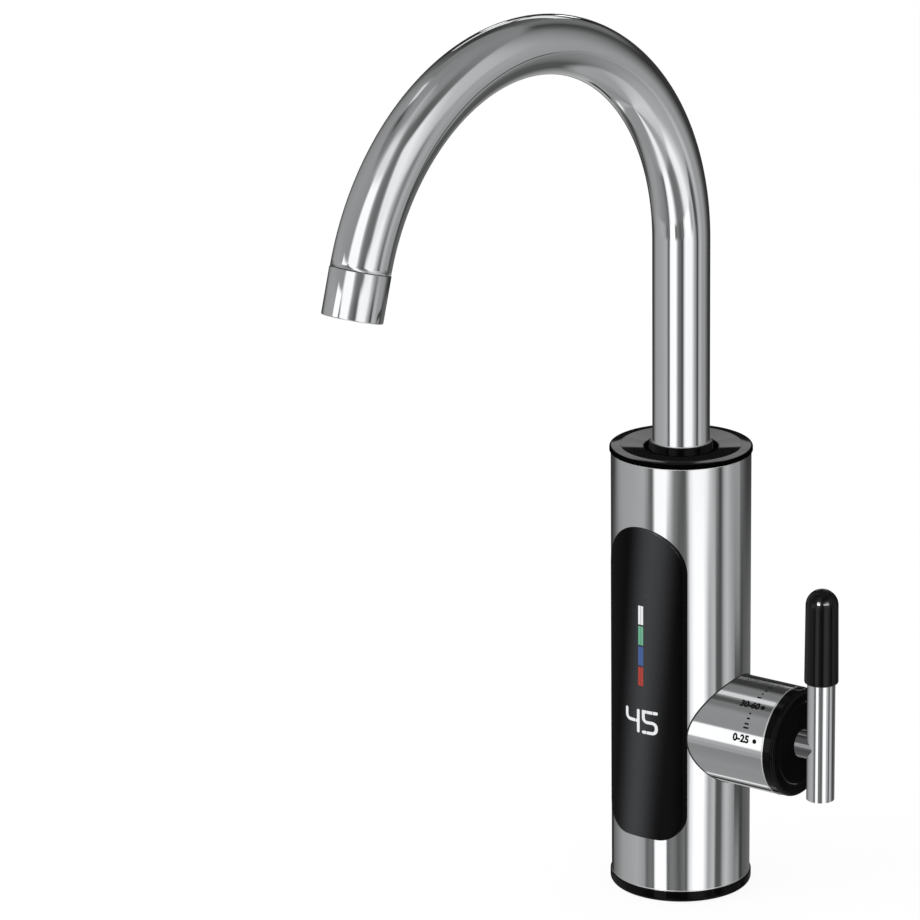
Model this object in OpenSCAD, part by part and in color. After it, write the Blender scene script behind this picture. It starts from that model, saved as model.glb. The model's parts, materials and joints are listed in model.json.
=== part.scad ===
// Electric instant water heater tap, single lever, with a swivel spout and a display.
// +Z is up. The origin is the centre of the foot's underside, on the body's axis.
// The display faces -Y and the side valve points along +X.

/* [Body] */
// Outer diameter of the steel shell
shell_d = 60; // [60:0.5:70]
// Wall of the steel shell
shell_wall = 0.8; // [0.6:0.1:1]
// Length of the steel shell
shell_len = 190.8; // [180:0.2:230]
// Height of the black foot below the shell
foot_h = 5; // [4:0.5:8]
// How far the foot and the top cap stand out past the shell
rim_proud = 0.6; // [0.3:0.1:1.2]
// Rise of the top cap above the shell
cap_rise = 2.2; // [1.8:0.1:4]
// Length of the foot's and the cap's spigots inside the shell
spigot_len = 10; // [8:0.5:14]
// Wall of those spigots
spigot_wall = 2.5; // [2:0.1:3]

/* [Spout] */
// Outer diameter of the spout's tube
tube_d = 24.5; // [22:0.1:25]
// Wall of the spout's tube
tube_wall = 1.2; // [1:0.1:1.5]
// Straight rise of the spout above the shell
tube_rise = 92.4; // [60:0.2:140]
// Radius of the spout's bend at the tube's centre
bend_r = 100; // [70:1:110]
// Angle of the spout's bend
bend_deg = 164; // [120:1:175]
// Turn of the spout at rest from straight ahead towards the left
rest_deg = 6.2; // [-20:0.1:20]
// Height of the black collar round the tube above the shell
collar_rise = 4; // [3:0.1:6]
// Wall of that collar
collar_wall = 1.27; // [1:0.01:1.6]
// Length of the aerator's sleeve
aerator_len = 19.5; // [16:0.5:24]
// Wall of the aerator's sleeve
aerator_wall = 2.2; // [1.8:0.1:3]

/* [Valve] */
// Height of the valve's axis above the shell's lower edge
valve_rise = 70.2; // [69:0.1:80]
// Outer diameter of the valve's steel sleeve
sleeve_d = 47.2; // [46.4:0.1:48]
// Wall of the valve's steel sleeve
sleeve_wall = 1; // [0.8:0.1:1.2]
// Distance of the sleeve's end from the body's axis
sleeve_reach = 57.2; // [56:0.1:66]
// Thickness of the black end cap past the sleeve
end_cap_t = 4.8; // [4:0.1:7]
// Outer diameter of the brass barrel
barrel_d = 36; // [35:0.5:37]
// Wall of the brass barrel
barrel_wall = 3; // [2.5:0.1:3.5]

/* [Lever] */
// Diameter of the neck that carries the lever
neck_d = 12; // [10:0.1:13]
// Diameter of the lever's rod
rod_d = 12; // [11:0.1:13]
// Gap between the end cap and the rod
rod_gap = 3.5; // [2.5:0.1:8]
// Reach of the rod below the valve's axis
rod_drop = 23.2; // [12:0.1:30]
// Height of the rod's shoulder above the valve's axis
rod_lift = 29.2; // [20:0.1:40]
// Length of the black grip
grip_len = 41.7; // [30:0.1:60]
// Diameter of the grip at its lower end
grip_d = 14.6; // [14.2:0.1:18]
// Diameter of the grip below its domed end
grip_tip_d = 14; // [13:0.1:14.2]

/* [Display] */
// Width of the display panel round the shell
panel_w = 39.6; // [36:0.1:42]
// Height of the display panel
panel_len = 140.2; // [120:0.2:150]
// Height of the panel's lower edge above the shell's lower edge
panel_rise = 23.3; // [18:0.1:30]
// How far the panel's middle stands out from the shell
panel_t = 0.8; // [0.6:0.1:1.5]
// How far behind the body's axis the panel's flatter face has its centre
face_set = 8; // [4:0.5:12]
// Radius of the panel's lower corners
panel_corner = 12; // [8:0.5:15]
// Margin that rests on the shell round the panel's plug
panel_lap = 4; // [3:0.1:6]
// Width of the level bar
bar_w = 2.5; // [1.5:0.1:4]
// Length of one colour on the level bar
bar_seg = 8.4; // [6:0.05:9]
// Dark gap between two colours of the bar
bar_gap = 0.8; // [0.5:0.05:1.2]
// Height of the bar's top above the shell's lower edge
bar_rise = 128.7; // [124:0.1:135]
// Width of a digit
digit_w = 7.6; // [6:0.1:7.8]
// Height of a digit
digit_h = 10.7; // [9:0.1:13]
// Width of a digit's stroke
stroke_w = 1.4; // [0.8:0.05:1.5]
// Gap between the two digits
digit_gap = 1.2; // [0.8:0.1:2]
// Height of the digits' centre above the shell's lower edge
digit_rise = 76.6; // [72:0.1:80]

/* [Inside] */
// Diameter of the water tank
tank_d = 39; // [38:0.5:40]
// Wall of the water tank
tank_wall = 2; // [1.5:0.1:2.5]
// Thickness of the tank's lid
lid_t = 6; // [5:0.5:8]
// Height of the socket that carries the spout
socket_h = 24; // [22:0.5:30]
// Diameter of the heating element's sheath
sheath_d = 4.4; // [3.5:0.1:5]
// Number of turns of the heating element
element_turns = 5; // [3:1:6]
// Minor diameter of the G1/2 thread in the inlet
inlet_d = 18.63; // [18.6:0.01:18.9]
// Depth of that thread
inlet_depth = 10; // [8:0.5:11]
// Bore of the cable gland
cord_bore = 8.5; // [7:0.1:8.6]
// Diameter of the flow switch's chamber
chamber_d = 13; // [12:0.1:14]
// Travel of the flow switch's piston
piston_travel = 5; // [3:0.1:6]
// Thickness of the circuit boards
board_t = 1.6; // [1:0.1:2]
// Thickness of the inner frame's plate
frame_t = 2; // [1.5:0.1:2]

/* [Fits] */
// Radial clearance between pieces that are fixed together
fit_gap = 0.1; // [0.05:0.01:0.12]
// Radial clearance between pieces that turn or slide
run_gap = 0.08; // [0.03:0.01:0.1]
// Clearance left for glue, thread or print
thin_gap = 0.05; // [0.02:0.01:0.08]

/* [Hidden] */
$fn = 96;
cut = 1;
shell_r = shell_d / 2;
shell_ri = shell_r - shell_wall;
shell_top = foot_h + shell_len;
rim_r = shell_r + rim_proud;
spigot_r = shell_ri - 1.5 * fit_gap;
spigot_ri = spigot_r - spigot_wall;

// The foot and what stands on its floor
foot_round = 2;
foot_edge = 0.4;
seal_w = 2;
seal_t = 2.5;
seal_r = shell_r - 2.2;
fitting_r = inlet_d / 2 + 2.485;
shoulder_t = 3;
shoulder_top = foot_h + shoulder_t;
ear_r = 3.6;
ear_y = 17.6;
screw_head_t = 2;
inlet_screw_r = 1.5;
inlet_screw_bite = 3.5;
fitting_rise = 8;
fitting_top = shoulder_top + fitting_rise;
strainer_r = 7.5;
strainer_t = 1;
strainer_hole_r = 0.9;
strainer_hole_out = 2.6;
nipple_r = 6;
nipple_len = 6;
water_r = 4.5;
gland_r = cord_bore / 2 + 1.15;
gland_nut_r = gland_r + 1.4;
gland_x = -(fitting_r + gland_nut_r + 0.9);
gland_flange_t = 2.5;
gland_nut_t = 5;
gland_top = foot_h + gland_flange_t + gland_nut_t + 1.5;
shell_screw_r = 1.5;
shell_screw_z = foot_h + spigot_len / 2;
shell_screw_deg = 30;

// The valve: its axis, its ports and its chamber
valve_z = foot_h + valve_rise;
sleeve_r = sleeve_d / 2;
sleeve_ri = sleeve_r - sleeve_wall;
collar_r = sleeve_ri - 2 * fit_gap;
shell_hole_r = collar_r + fit_gap;
barrel_r = barrel_d / 2;
chamber_r = barrel_r - barrel_wall;
saddle_gap = 0.3;
barrel_back = 12;
barrel_front = sleeve_reach - 7.2;
chamber_back = barrel_front - 17;
boss_r = 12;
port_r = 9;
port_ri = 4;
port_drop = 17.2;
valve_port_z = valve_z - port_drop;
top_port_r = 9.5;
top_port_rise = 16.8;
top_port_z = valve_z + top_port_rise;
channel_r = 2.8;
channel_off = 5;
pipe_r = 7;
pipe_ri = 3.8;
pipe_seat = 6;
port_spigot = 2;
collar_back = 22;
disc_r = 12.1;
moving_disc_r = disc_r - 0.3;
stem_flange_r = disc_r - 0.4;
disc_t = 3;
seal_disc_t = 1.5;
seal_disc_front = chamber_back + seal_disc_t;
fixed_disc_front = seal_disc_front + disc_t;
moving_disc_front = fixed_disc_front + run_gap + disc_t;
stem_flange_t = 3.5;
stem_flange_front = moving_disc_front + stem_flange_t;
stem_r = 4.5;
stem_end_r = 3.5;
stem_step = barrel_front + 5;
stem_end = stem_step + 6;
cartridge_front = barrel_front - 3;
nut_front = barrel_front + 0.5;
nut_ri = 8;

// The end cap and the lever
cap_face = sleeve_reach + end_cap_t;
cap_r = sleeve_r - 0.2;
cap_round = 1.6;
cap_inner = sleeve_reach - 1.7;
skirt_r = sleeve_ri - 2 * fit_gap;
skirt_ri = skirt_r - 2;
groove_r = cap_r - 5.7;
groove_w = 0.6;
neck_r = neck_d / 2;
neck_back = nut_front + 1;
rod_r = rod_d / 2;
rod_x = cap_face + rod_gap + rod_r;
rod_shoulder = valve_z + rod_lift;
neck_pin_r = 3;
neck_pin_root = 2;
neck_pin_end = rod_x + 2.5;
lever_screw_r = 1.5;
lever_screw_sink = 0.5;
end_gap = 0.3;
grip_top = rod_shoulder + grip_len;
grip_r = grip_d / 2;
grip_tip_r = grip_tip_d / 2;
grip_round = 1;
grip_pin_r = rod_r - 1.5;
grip_pin_top = grip_top - 8;

// The flow switch between the inlet and the valve
chamber_pr = chamber_d / 2;
switch_r = chamber_pr + 3.5;
piston_r = chamber_pr - run_gap;
piston_z = valve_port_z - 26;
piston_skirt = 4;
piston_stem_r = 3.5;
piston_stem = 6;
magnet_t = 5;
magnet_r = piston_r - 0.2;
spring_wire = 1;
spring_r = (piston_stem_r + magnet_r) / 2 + 0.05;
spring_turns = 6;
spring_low = piston_z + piston_skirt + magnet_t;
spring_high = valve_port_z - port_spigot;
reed_pad_y = switch_r + 0.5;
reed_w = 8;
reed_t = 4;
reed_low = piston_z + 6;
reed_len = 16;
reed_pad_side = 0.5;
reed_pad_end = 2;

// The tank, its lid and the socket above it
tank_r = tank_d / 2;
tank_ri = tank_r - tank_wall;
tank_y = 3;
tank_low = top_port_z + 12;
floor_t = 3;
tank_flange_r = tank_r + 4.5;
tank_flange_t = 4;
socket_low = shell_top - 1.8 - socket_h;
lid_low = socket_low - lid_t;
tank_screw_r = 1.2;
tank_screw_head_r = 1.7 * tank_screw_r;
tank_screw_pcd = (tank_r + tank_flange_r) / 2;
tank_seal_t = 1;
tank_seal_w = 1.3;
tank_seal_ri = tank_ri + 0.4;
floor_hole_r = 5.1;
sheath_r = sheath_d / 2;
coil_r = tank_ri - 4;
lead_bend = 5;
lead_x = 4;
lead_low = tank_low - 7;
coil_low = tank_low + floor_t + lead_bend + 2;
coil_high = lid_low - 9;
cutout_r = 6;
cutout_len = 6;
cutout_pad_r = cutout_r + 1;
cutout_pad_depth = tank_wall + 0.4;
cutout_x = -(tank_r + 1);
cutout_z = (tank_low + lid_low) / 2;
sensor_r = 1.8;
sensor_head_r = 2.5;
sensor_head_t = 6;
sensor_dip = 5.5;
socket_r = tube_d / 2 + 3.25;
sensor_y = socket_r + sensor_head_r + 0.3;
foot_lug_w = 16;
foot_lug_h = 6;
lid_bore = 6;
lid_screw_floor = 1;

// The frame plate and the boards at the back
frame_back = shell_ri - 4.9;
frame_front = frame_back - frame_t;
frame_half = sqrt(pow(shell_ri - 0.5, 2) - pow(frame_back, 2));
frame_tab_half = sqrt(pow(spigot_ri - 0.3, 2) - pow(frame_back, 2)) - 0.3;
board_stand = 0.7;
board_stand_r = 2.4;
board_back = frame_front - board_stand;
board_front = board_back - board_t;
board_half = 13;
board_low = foot_h + 17;
board_high = tank_low - 6;
board_screw_x = 10.5;
board_screw_r = 1.2;
board_screw_head_r = 2.1;
board_screw_head_t = 1.3;
board_screw_end = board_stand + frame_t - 0.2;
board_screw_inset = 4;
relay_w = 7.5;
relay_h = 20;
relay_x = 9;
relay_front = 10;
relay_low = board_low + 9;
terminal_h = 16;
terminal_pitch = 5;
terminal_hole_r = 1.4;
terminal_hole_t = 5;

// The spout's swivel, tube and outlet
tube_r = tube_d / 2;
tube_ri = tube_r - tube_wall;
bend_z = shell_top + tube_rise;
tail_r = tube_r + 0.05;
socket_ri = tail_r + run_gap;
tail_low = socket_low + 0.5;
tail_flange_r = tail_r + 1.1;
tail_flange_t = 2.6;
socket_step = tail_low + tail_flange_t + run_gap;
tail_top = tail_low + 9.5;
tail_plug = 10;
tail_bore = tube_ri - 3;
ring_groove_r = tail_r - 1.5;
ring_groove_w = 1.8;
ring_places = [4.4, 7.4];
ring_play = 0.02;
ring_s = (socket_ri - ring_groove_r) / 2 - ring_play;
socket_ear_x = socket_r + 4;
socket_ear_r = 3.5;
socket_ear_t = 3;
socket_screw_r = 1.5;
socket_screw_head_r = 2.8;
socket_screw_bite = lid_t - lid_screw_floor - cut / 2;
collar_ri = tube_r + run_gap;
collar_ro = collar_ri + collar_wall;
collar_low = socket_low + socket_h;
collar_top = shell_top + collar_rise;
collar_edge = 0.5;
cap_hole_r = collar_ro + fit_gap;
cap_plate_low = collar_low + 0.3;
cap_spigot_low = shell_top - spigot_len + 2;
cap_edge = 0.8;
cap_hole_edge = 1.2;
// The dish in the cap's top: steps in from the rim, and down from the crest
cap_dish = [[2.3, 0], [4.3, 0.1], [9, 0.5]];
cap_top = shell_top + cap_rise;
bend_end_s = bend_r + bend_r * cos(180 - bend_deg);
bend_end_z = bend_z + bend_r * sin(180 - bend_deg);
aerator_r = tube_r + 0.2;
aerator_ri = aerator_r - aerator_wall;
aerator_plug = 5;
aerator_plug_r = tube_ri - fit_gap - pow(aerator_plug, 2) / (2 * bend_r);
aerator_plug_ri = aerator_plug_r - 2.4;
aerator_seat = 3;
insert_r = aerator_ri - fit_gap;
washer_t = 1.5;
insert_inset = 1;
insert_low = aerator_seat + washer_t;
insert_high = aerator_len - insert_inset;
insert_hole_r = 1.2;
inner_holes = insert_r * 0.4;
outer_holes = insert_r * 0.76;

// The display panel, what shines through it and what stands behind it
face_r = shell_r + panel_t + face_set;
panel_far = shell_r + panel_t + cut;
panel_low = foot_h + panel_rise;
panel_top = panel_low + panel_len;
plug_ri = shell_ri - 0.8;
bar_top = foot_h + bar_rise;
bar_colours = 4;
bar_low = bar_top - bar_colours * bar_seg - (bar_colours - 1) * bar_gap;
digit_z = foot_h + digit_rise;
carrier_r = plug_ri - fit_gap;
carrier_half = 14;
carrier_back = -(shell_ri - 5.8);
carrier_low = panel_low + 14;
carrier_high = panel_top - 14;
led_front = carrier_back - 3;
bar_case_half = 2.5;
display_half = 12;
case_margin = 1.6;

// A solid cylinder from one height to another
module post(r, low, high) {
  translate([0, 0, low]) cylinder(r = r, h = high - low);
}

// A ring from one height to another
module ring(ro, ri, low, high) {
  difference() {
    post(ro, low, high);
    post(ri, low - cut, high + cut);
  }
}

// A box between two corners
module block(low, high) {
  translate(low) cube(high - low);
}

// Points on an arc, from one angle to another
function arc(centre, r, from, to, steps) = [
  for (i = [0 : steps])
    let (a = from + (to - from) * i / steps)
    [centre[0] + r * cos(a), centre[1] + r * sin(a)]
];

// Turns what stands on Z so that it lies along +X at the valve's height
module on_valve() {
  translate([0, 0, valve_z]) rotate([0, 90, 0]) children();
}

// Turns what points along +X to the side where the spout rests
module on_spout() {
  rotate([0, 0, -90 - rest_deg]) children();
}

// Puts what stands on Z at the end of the spout's bend, pointing out of it
module on_outlet() {
  on_spout() translate([bend_end_s, 0, bend_end_z]) rotate([0, bend_deg, 0]) children();
}

// Extrudes an outline drawn in X and Z towards the front, between two distances
module to_front(near, far) {
  rotate([90, 0, 0]) translate([0, 0, near]) linear_extrude(far - near) children();
}

// A round tube swept along a path, with its frame carried on from ring to ring
function unit(v) = v / norm(v);
function heading(path, i) = unit(path[min(i + 1, len(path) - 1)] - path[max(i - 1, 0)]);
function carried(side, along) = unit(side - (side * along) * along);
function sides_of(path, first) = [
  for (i = 0, n = carried(first, heading(path, 0));
       i < len(path);
       i = i + 1, n = i < len(path) ? carried(n, heading(path, i)) : n)
    n
];
function ring_at(centre, side, along, r, sides) = [
  for (k = [0 : sides - 1])
    let (a = 360 * k / sides)
    centre + r * cos(a) * side + r * sin(a) * cross(along, side)
];

module swept(path, r, sides, first) {
  lasting = sides_of(path, first);
  last = len(path) - 1;
  points = [
    for (i = [0 : last])
      each ring_at(path[i], lasting[i], heading(path, i), r, sides)
  ];
  walls = [
    for (i = [0 : last - 1], k = [0 : sides - 1])
      let (
        a = i * sides + k,
        b = i * sides + (k + 1) % sides
      )
      each [[a, a + sides, b], [b, a + sides, b + sides]]
  ];
  start = [for (k = [1 : sides - 2]) [0, k, k + 1]];
  base = last * sides;
  end = [for (k = [1 : sides - 2]) [base, base + k + 1, base + k]];
  polyhedron(points = points, faces = concat(walls, start, end));
}

// The black foot: a floor with a rounded rim and a spigot that fits inside the shell
module foot() {
  color([0.05, 0.05, 0.06]) difference() {
    rotate_extrude() polygon(concat(
      [[0, 0]],
      arc([rim_r - foot_round, foot_round], foot_round, -90, 0, 8),
      arc([rim_r - foot_edge, foot_h - foot_edge], foot_edge, 0, 90, 4),
      [[spigot_r, foot_h], [spigot_r, foot_h + spigot_len]],
      [[spigot_ri, foot_h + spigot_len], [spigot_ri, foot_h], [0, foot_h]]
    ));
    ring(seal_r + thin_gap, seal_r - seal_w - thin_gap, -cut, seal_t);
    post(fitting_r + fit_gap, -cut, foot_h + cut);
    translate([gland_x, 0, 0]) post(gland_r + fit_gap, -cut, foot_h + cut);
    for (side = [-1, 1]) {
      translate([0, side * ear_y, 0])
        post(inlet_screw_r + thin_gap, foot_h - inlet_screw_bite - cut / 2, foot_h + cut);
    }
    at_shell_screws() post(shell_screw_r + thin_gap, spigot_ri - cut, shell_r);
  }
}

// The two places of the shell's screws, pointing outwards at the back
module at_shell_screws() {
  for (side = [-1, 1]) {
    rotate([0, 0, 90 + side * shell_screw_deg])
      translate([0, 0, shell_screw_z])
        rotate([0, 90, 0])
          children();
  }
}

// The rubber ring in the foot's underside
module deck_seal() {
  color([0.15, 0.15, 0.15]) ring(seal_r, seal_r - seal_w, 0, seal_t);
}

// The brass inlet with its G1/2 socket, ears for two screws and a nipple for the flow switch
module inlet_fitting() {
  color([0.8, 0.65, 0.3]) difference() {
    union() {
      post(fitting_r, 0, fitting_top);
      translate([0, 0, foot_h]) linear_extrude(shoulder_t) union() {
        square([2 * ear_r, 2 * ear_y], center = true);
        translate([0, ear_y]) circle(ear_r);
        translate([0, -ear_y]) circle(ear_r);
      }
      post(nipple_r, fitting_top - cut, fitting_top + nipple_len);
    }
    post(inlet_d / 2, -cut, inlet_depth);
    post(strainer_r + fit_gap, inlet_depth - cut, inlet_depth + strainer_t);
    post(water_r, inlet_depth, fitting_top + nipple_len + cut);
    for (side = [-1, 1]) {
      translate([0, side * ear_y, 0])
        post(inlet_screw_r + thin_gap, foot_h - cut, shoulder_top + cut);
    }
  }
}

// The perforated disc at the end of the inlet's thread
module inlet_strainer() {
  color([0.7, 0.7, 0.72]) difference() {
    post(strainer_r, inlet_depth, inlet_depth + strainer_t);
    for (i = [0 : 5]) {
      rotate([0, 0, 60 * i]) translate([strainer_hole_out, 0, 0])
        post(strainer_hole_r, inlet_depth - cut, inlet_depth + strainer_t + cut);
    }
    post(strainer_hole_r, inlet_depth - cut, inlet_depth + strainer_t + cut);
  }
}

// A round-headed screw that points down, its head's seat at height 0
module screw(r, head_r, head_t, len) {
  post(head_r, 0, head_t);
  post(r, -len, cut / 2);
}

// The two screws that hold the inlet to the foot
module inlet_screws() {
  color([0.7, 0.7, 0.72]) for (side = [-1, 1]) {
    translate([0, side * ear_y, shoulder_top])
      screw(inlet_screw_r, 2 * inlet_screw_r, screw_head_t, shoulder_t + inlet_screw_bite);
  }
}

// The plastic gland for the mains cord
module cable_gland() {
  color([0.1, 0.1, 0.1]) translate([gland_x, 0, 0]) difference() {
    union() {
      post(gland_r, 0, gland_top);
      post(gland_nut_r, foot_h, foot_h + gland_flange_t);
    }
    post(cord_bore / 2, -cut, gland_top + cut);
  }
}

// The nut that closes the gland on the cord
module gland_nut() {
  color([0.2, 0.2, 0.2]) translate([gland_x, 0, 0])
    ring(gland_nut_r, gland_r + thin_gap,
         foot_h + gland_flange_t, foot_h + gland_flange_t + gland_nut_t);
}

// The steel shell with its window for the display and its hole for the valve
module shell() {
  color([0.75, 0.76, 0.78]) difference() {
    ring(shell_r, shell_ri, foot_h, shell_top);
    on_valve() post(shell_hole_r, shell_r / 3, shell_r + cut);
    to_front(shell_r / 3, shell_r + cut) panel_outline(fit_gap - panel_lap);
    at_shell_screws() post(shell_screw_r + thin_gap, shell_ri - cut, shell_r + cut);
  }
}

// The two grub screws that hold the shell to the foot
module shell_screws() {
  color([0.6, 0.6, 0.62]) intersection() {
    at_shell_screws() post(shell_screw_r, spigot_ri, shell_r + cut);
    post(shell_r, 0, shell_top);
  }
}

// The housing of the flow switch: it sits on the inlet's nipple and carries the valve's port
module flow_switch_body() {
  color([0.85, 0.85, 0.82]) difference() {
    union() {
      post(switch_r, fitting_top, valve_port_z);
      block([-reed_w / 2 - reed_pad_side, 0, reed_low - reed_pad_end],
            [reed_w / 2 + reed_pad_side, reed_pad_y, reed_low + reed_len + reed_pad_end]);
    }
    post(nipple_r + fit_gap, fitting_top - cut, fitting_top + nipple_len + end_gap);
    post(water_r, fitting_top, valve_port_z + cut);
    post(chamber_pr, piston_z, valve_port_z + cut);
  }
}

// The sliding piston, lifted by the flow
module flow_piston() {
  color([0.9, 0.9, 0.9]) {
    post(piston_r, piston_z, piston_z + piston_skirt);
    post(piston_stem_r, piston_z + piston_skirt - cut, piston_z + piston_skirt + piston_stem);
  }
}

// The ring magnet on the piston
module flow_magnet() {
  color([0.3, 0.3, 0.32]) ring(magnet_r, piston_stem_r + thin_gap,
                               piston_z + piston_skirt, piston_z + piston_skirt + magnet_t);
}

// The wound spring that returns the piston
module flow_spring() {
  steps = 8 * spring_turns;
  low = spring_low + spring_wire / 2 + thin_gap;
  high = spring_high - spring_wire / 2 - thin_gap;
  path = [
    for (i = [0 : steps])
      let (a = 360 * spring_turns * i / steps)
      [spring_r * cos(a), spring_r * sin(a), low + (high - low) * i / steps]
  ];
  color([0.75, 0.75, 0.78]) swept(path, spring_wire / 2, 6, [0, 0, 1]);
}

// The reed switch on the housing's flat
module reed_switch() {
  color([0.1, 0.1, 0.1]) block([-reed_w / 2, reed_pad_y, reed_low],
                               [reed_w / 2, reed_pad_y + reed_t, reed_low + reed_len]);
}

// The upright plate that stands on the foot and carries the boards and the tank
module frame_plate() {
  color([0.7, 0.72, 0.74]) difference() {
    union() {
      block([-frame_half, frame_front, foot_h + spigot_len], [frame_half, frame_back, tank_low]);
      block([-frame_tab_half, frame_front, foot_h], [frame_tab_half, frame_back, foot_h + spigot_len + cut]);
      at_board_screws() post(board_stand_r, 0, board_stand + cut / 2);
    }
    at_board_screws() post(board_screw_r + thin_gap, -cut, board_stand + frame_t + cut);
  }
}

// The four places of the board's screws, pointing backwards from the board
module at_board_screws() {
  for (side = [-1, 1], z = [board_low + board_screw_inset, board_high - board_screw_inset]) {
    translate([side * board_screw_x, board_back, z]) rotate([-90, 0, 0]) children();
  }
}

// The control board
module control_board() {
  color([0.1, 0.35, 0.2]) difference() {
    block([-board_half, board_front, board_low], [board_half, board_back, board_high]);
    at_board_screws() post(board_screw_r + fit_gap, -board_t - cut, cut);
  }
}

// The relay that switches the heating element
module relay() {
  color([0.15, 0.3, 0.6]) block([-relay_x - relay_w / 2, relay_front, relay_low],
                                [-relay_x + relay_w / 2, board_front, relay_low + relay_h]);
}

// The terminal block for the mains cord's cores
module terminal_block() {
  color([0.2, 0.5, 0.3]) difference() {
    block([relay_x - relay_w / 2, relay_front, relay_low],
          [relay_x + relay_w / 2, board_front, relay_low + terminal_h]);
    for (i = [-1 : 1]) {
      translate([relay_x, relay_front, relay_low + terminal_h / 2 + terminal_pitch * i])
        rotate([-90, 0, 0])
          post(terminal_hole_r, -cut, terminal_hole_t);
    }
  }
}

// The four screws that hold the board to the frame plate
module board_screws() {
  color([0.75, 0.75, 0.75]) at_board_screws() {
    post(board_screw_head_r, -board_t - board_screw_head_t, -board_t);
    post(board_screw_r, -board_t - cut / 2, board_screw_end);
  }
}

// The brass valve body: a barrel for the cartridge and the ports below and above it
module valve_body() {
  color([0.8, 0.65, 0.3]) difference() {
    union() {
      on_valve() post(boss_r, -boss_r, barrel_back + cut);
      on_valve() post(barrel_r, barrel_back, barrel_front);
      post(port_r, valve_port_z, valve_z);
      post(chamber_pr - fit_gap, valve_port_z - port_spigot, valve_port_z + cut);
      post(top_port_r, valve_z, top_port_z);
    }
    on_valve() post(chamber_r, chamber_back, barrel_front + cut);
    post(port_ri, valve_port_z - port_spigot - cut, valve_z - channel_off);
    post(port_ri, valve_z + channel_off, top_port_z - pipe_seat + cut);
    post(pipe_r + fit_gap, top_port_z - pipe_seat, top_port_z + cut);
    for (side = [-1, 1]) {
      translate([0, 0, side * channel_off]) on_valve() post(channel_r, 0, chamber_back + cut);
    }
  }
}

// The plastic collar between the barrel, the shell's hole and the sleeve
module valve_collar() {
  color([0.12, 0.12, 0.12]) on_valve() ring(collar_r, barrel_r + fit_gap, collar_back, barrel_front);
}

// The steel sleeve of the valve, cut to sit on the shell
module valve_sleeve() {
  color([0.75, 0.76, 0.78]) difference() {
    on_valve() ring(sleeve_r, sleeve_ri, shell_r / 3, sleeve_reach);
    post(shell_r + saddle_gap, 0, shell_top);
  }
}

// The black end cap of the valve, with a fine groove on its face
module valve_end_cap() {
  color([0.05, 0.05, 0.06]) on_valve() rotate_extrude() polygon(concat(
    [[neck_r + run_gap, cap_inner], [skirt_ri, cap_inner], [skirt_ri, barrel_front]],
    [[skirt_r, barrel_front], [skirt_r, sleeve_reach], [cap_r, sleeve_reach]],
    arc([cap_r - cap_round, cap_face - cap_round], cap_round, 0, 90, 6),
    [[groove_r + groove_w, cap_face], [groove_r + groove_w / 2, cap_face - groove_w]],
    [[groove_r, cap_face], [neck_r + run_gap, cap_face]]
  ));
}

// The plastic cup of the cartridge
module cartridge_body() {
  color([0.9, 0.9, 0.88]) on_valve() {
    ring(chamber_r - fit_gap, disc_r + fit_gap, chamber_back, stem_flange_front + run_gap + cut);
    ring(chamber_r - fit_gap, stem_r + run_gap, stem_flange_front + run_gap, cartridge_front);
  }
}

// A disc across the valve's axis with two holes for the water
module ported_disc(r, back, front) {
  on_valve() difference() {
    post(r, back, front);
    for (side = [-1, 1]) {
      translate([side * channel_off, 0, 0]) post(channel_r, back - cut, front + cut);
    }
  }
}

// The rubber seal between the barrel's floor and the fixed disc
module cartridge_seal() {
  color([0.15, 0.15, 0.15]) ported_disc(disc_r, chamber_back, seal_disc_front);
}

// The fixed ceramic disc
module fixed_disc() {
  color([0.95, 0.95, 0.93]) ported_disc(disc_r, seal_disc_front, fixed_disc_front);
}

// The turning ceramic disc, with a pocket that joins the two holes when the lever turns
module moving_disc() {
  color([0.93, 0.93, 0.95]) on_valve() difference() {
    post(moving_disc_r, fixed_disc_front + run_gap, moving_disc_front);
    intersection() {
      post(channel_off + channel_r, fixed_disc_front - cut, moving_disc_front - disc_t / 2);
      block([-boss_r, channel_r, 0], [boss_r, boss_r, sleeve_reach]);
    }
  }
}

// The stem that turns the disc
module valve_stem() {
  color([0.8, 0.65, 0.3]) on_valve() {
    post(stem_flange_r, moving_disc_front, stem_flange_front);
    post(stem_r, stem_flange_front - cut, stem_step);
    post(stem_end_r, stem_step - cut, stem_end);
  }
}

// The ring nut that closes the cartridge in the barrel
module cartridge_nut() {
  color([0.8, 0.65, 0.3]) on_valve() ring(chamber_r - fit_gap, nut_ri, cartridge_front, nut_front);
}

// The steel neck from the stem to the lever's rod
module lever_neck() {
  color([0.75, 0.76, 0.78]) difference() {
    union() {
      difference() {
        on_valve() post(neck_r, neck_back, rod_x);
        translate([rod_x, 0, 0]) post(rod_r + thin_gap, valve_z - neck_d, valve_z + neck_d);
      }
      on_valve() post(neck_pin_r, rod_x - rod_r - neck_pin_root, neck_pin_end);
    }
    on_valve() post(stem_r + thin_gap, neck_back - cut, stem_step);
    on_valve() post(stem_end_r + thin_gap, neck_back - cut, stem_end + end_gap);
  }
}

// The upright steel rod of the lever
module lever_rod() {
  color([0.75, 0.76, 0.78]) difference() {
    translate([rod_x, 0, 0]) union() {
      post(rod_r, valve_z - rod_drop, rod_shoulder);
      post(grip_pin_r, rod_shoulder - cut, grip_pin_top);
    }
    on_valve() post(neck_pin_r + thin_gap, rod_x - rod_d, neck_pin_end + end_gap);
    at_lever_screw() post(lever_screw_r + thin_gap, 0, rod_d);
  }
}

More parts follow.
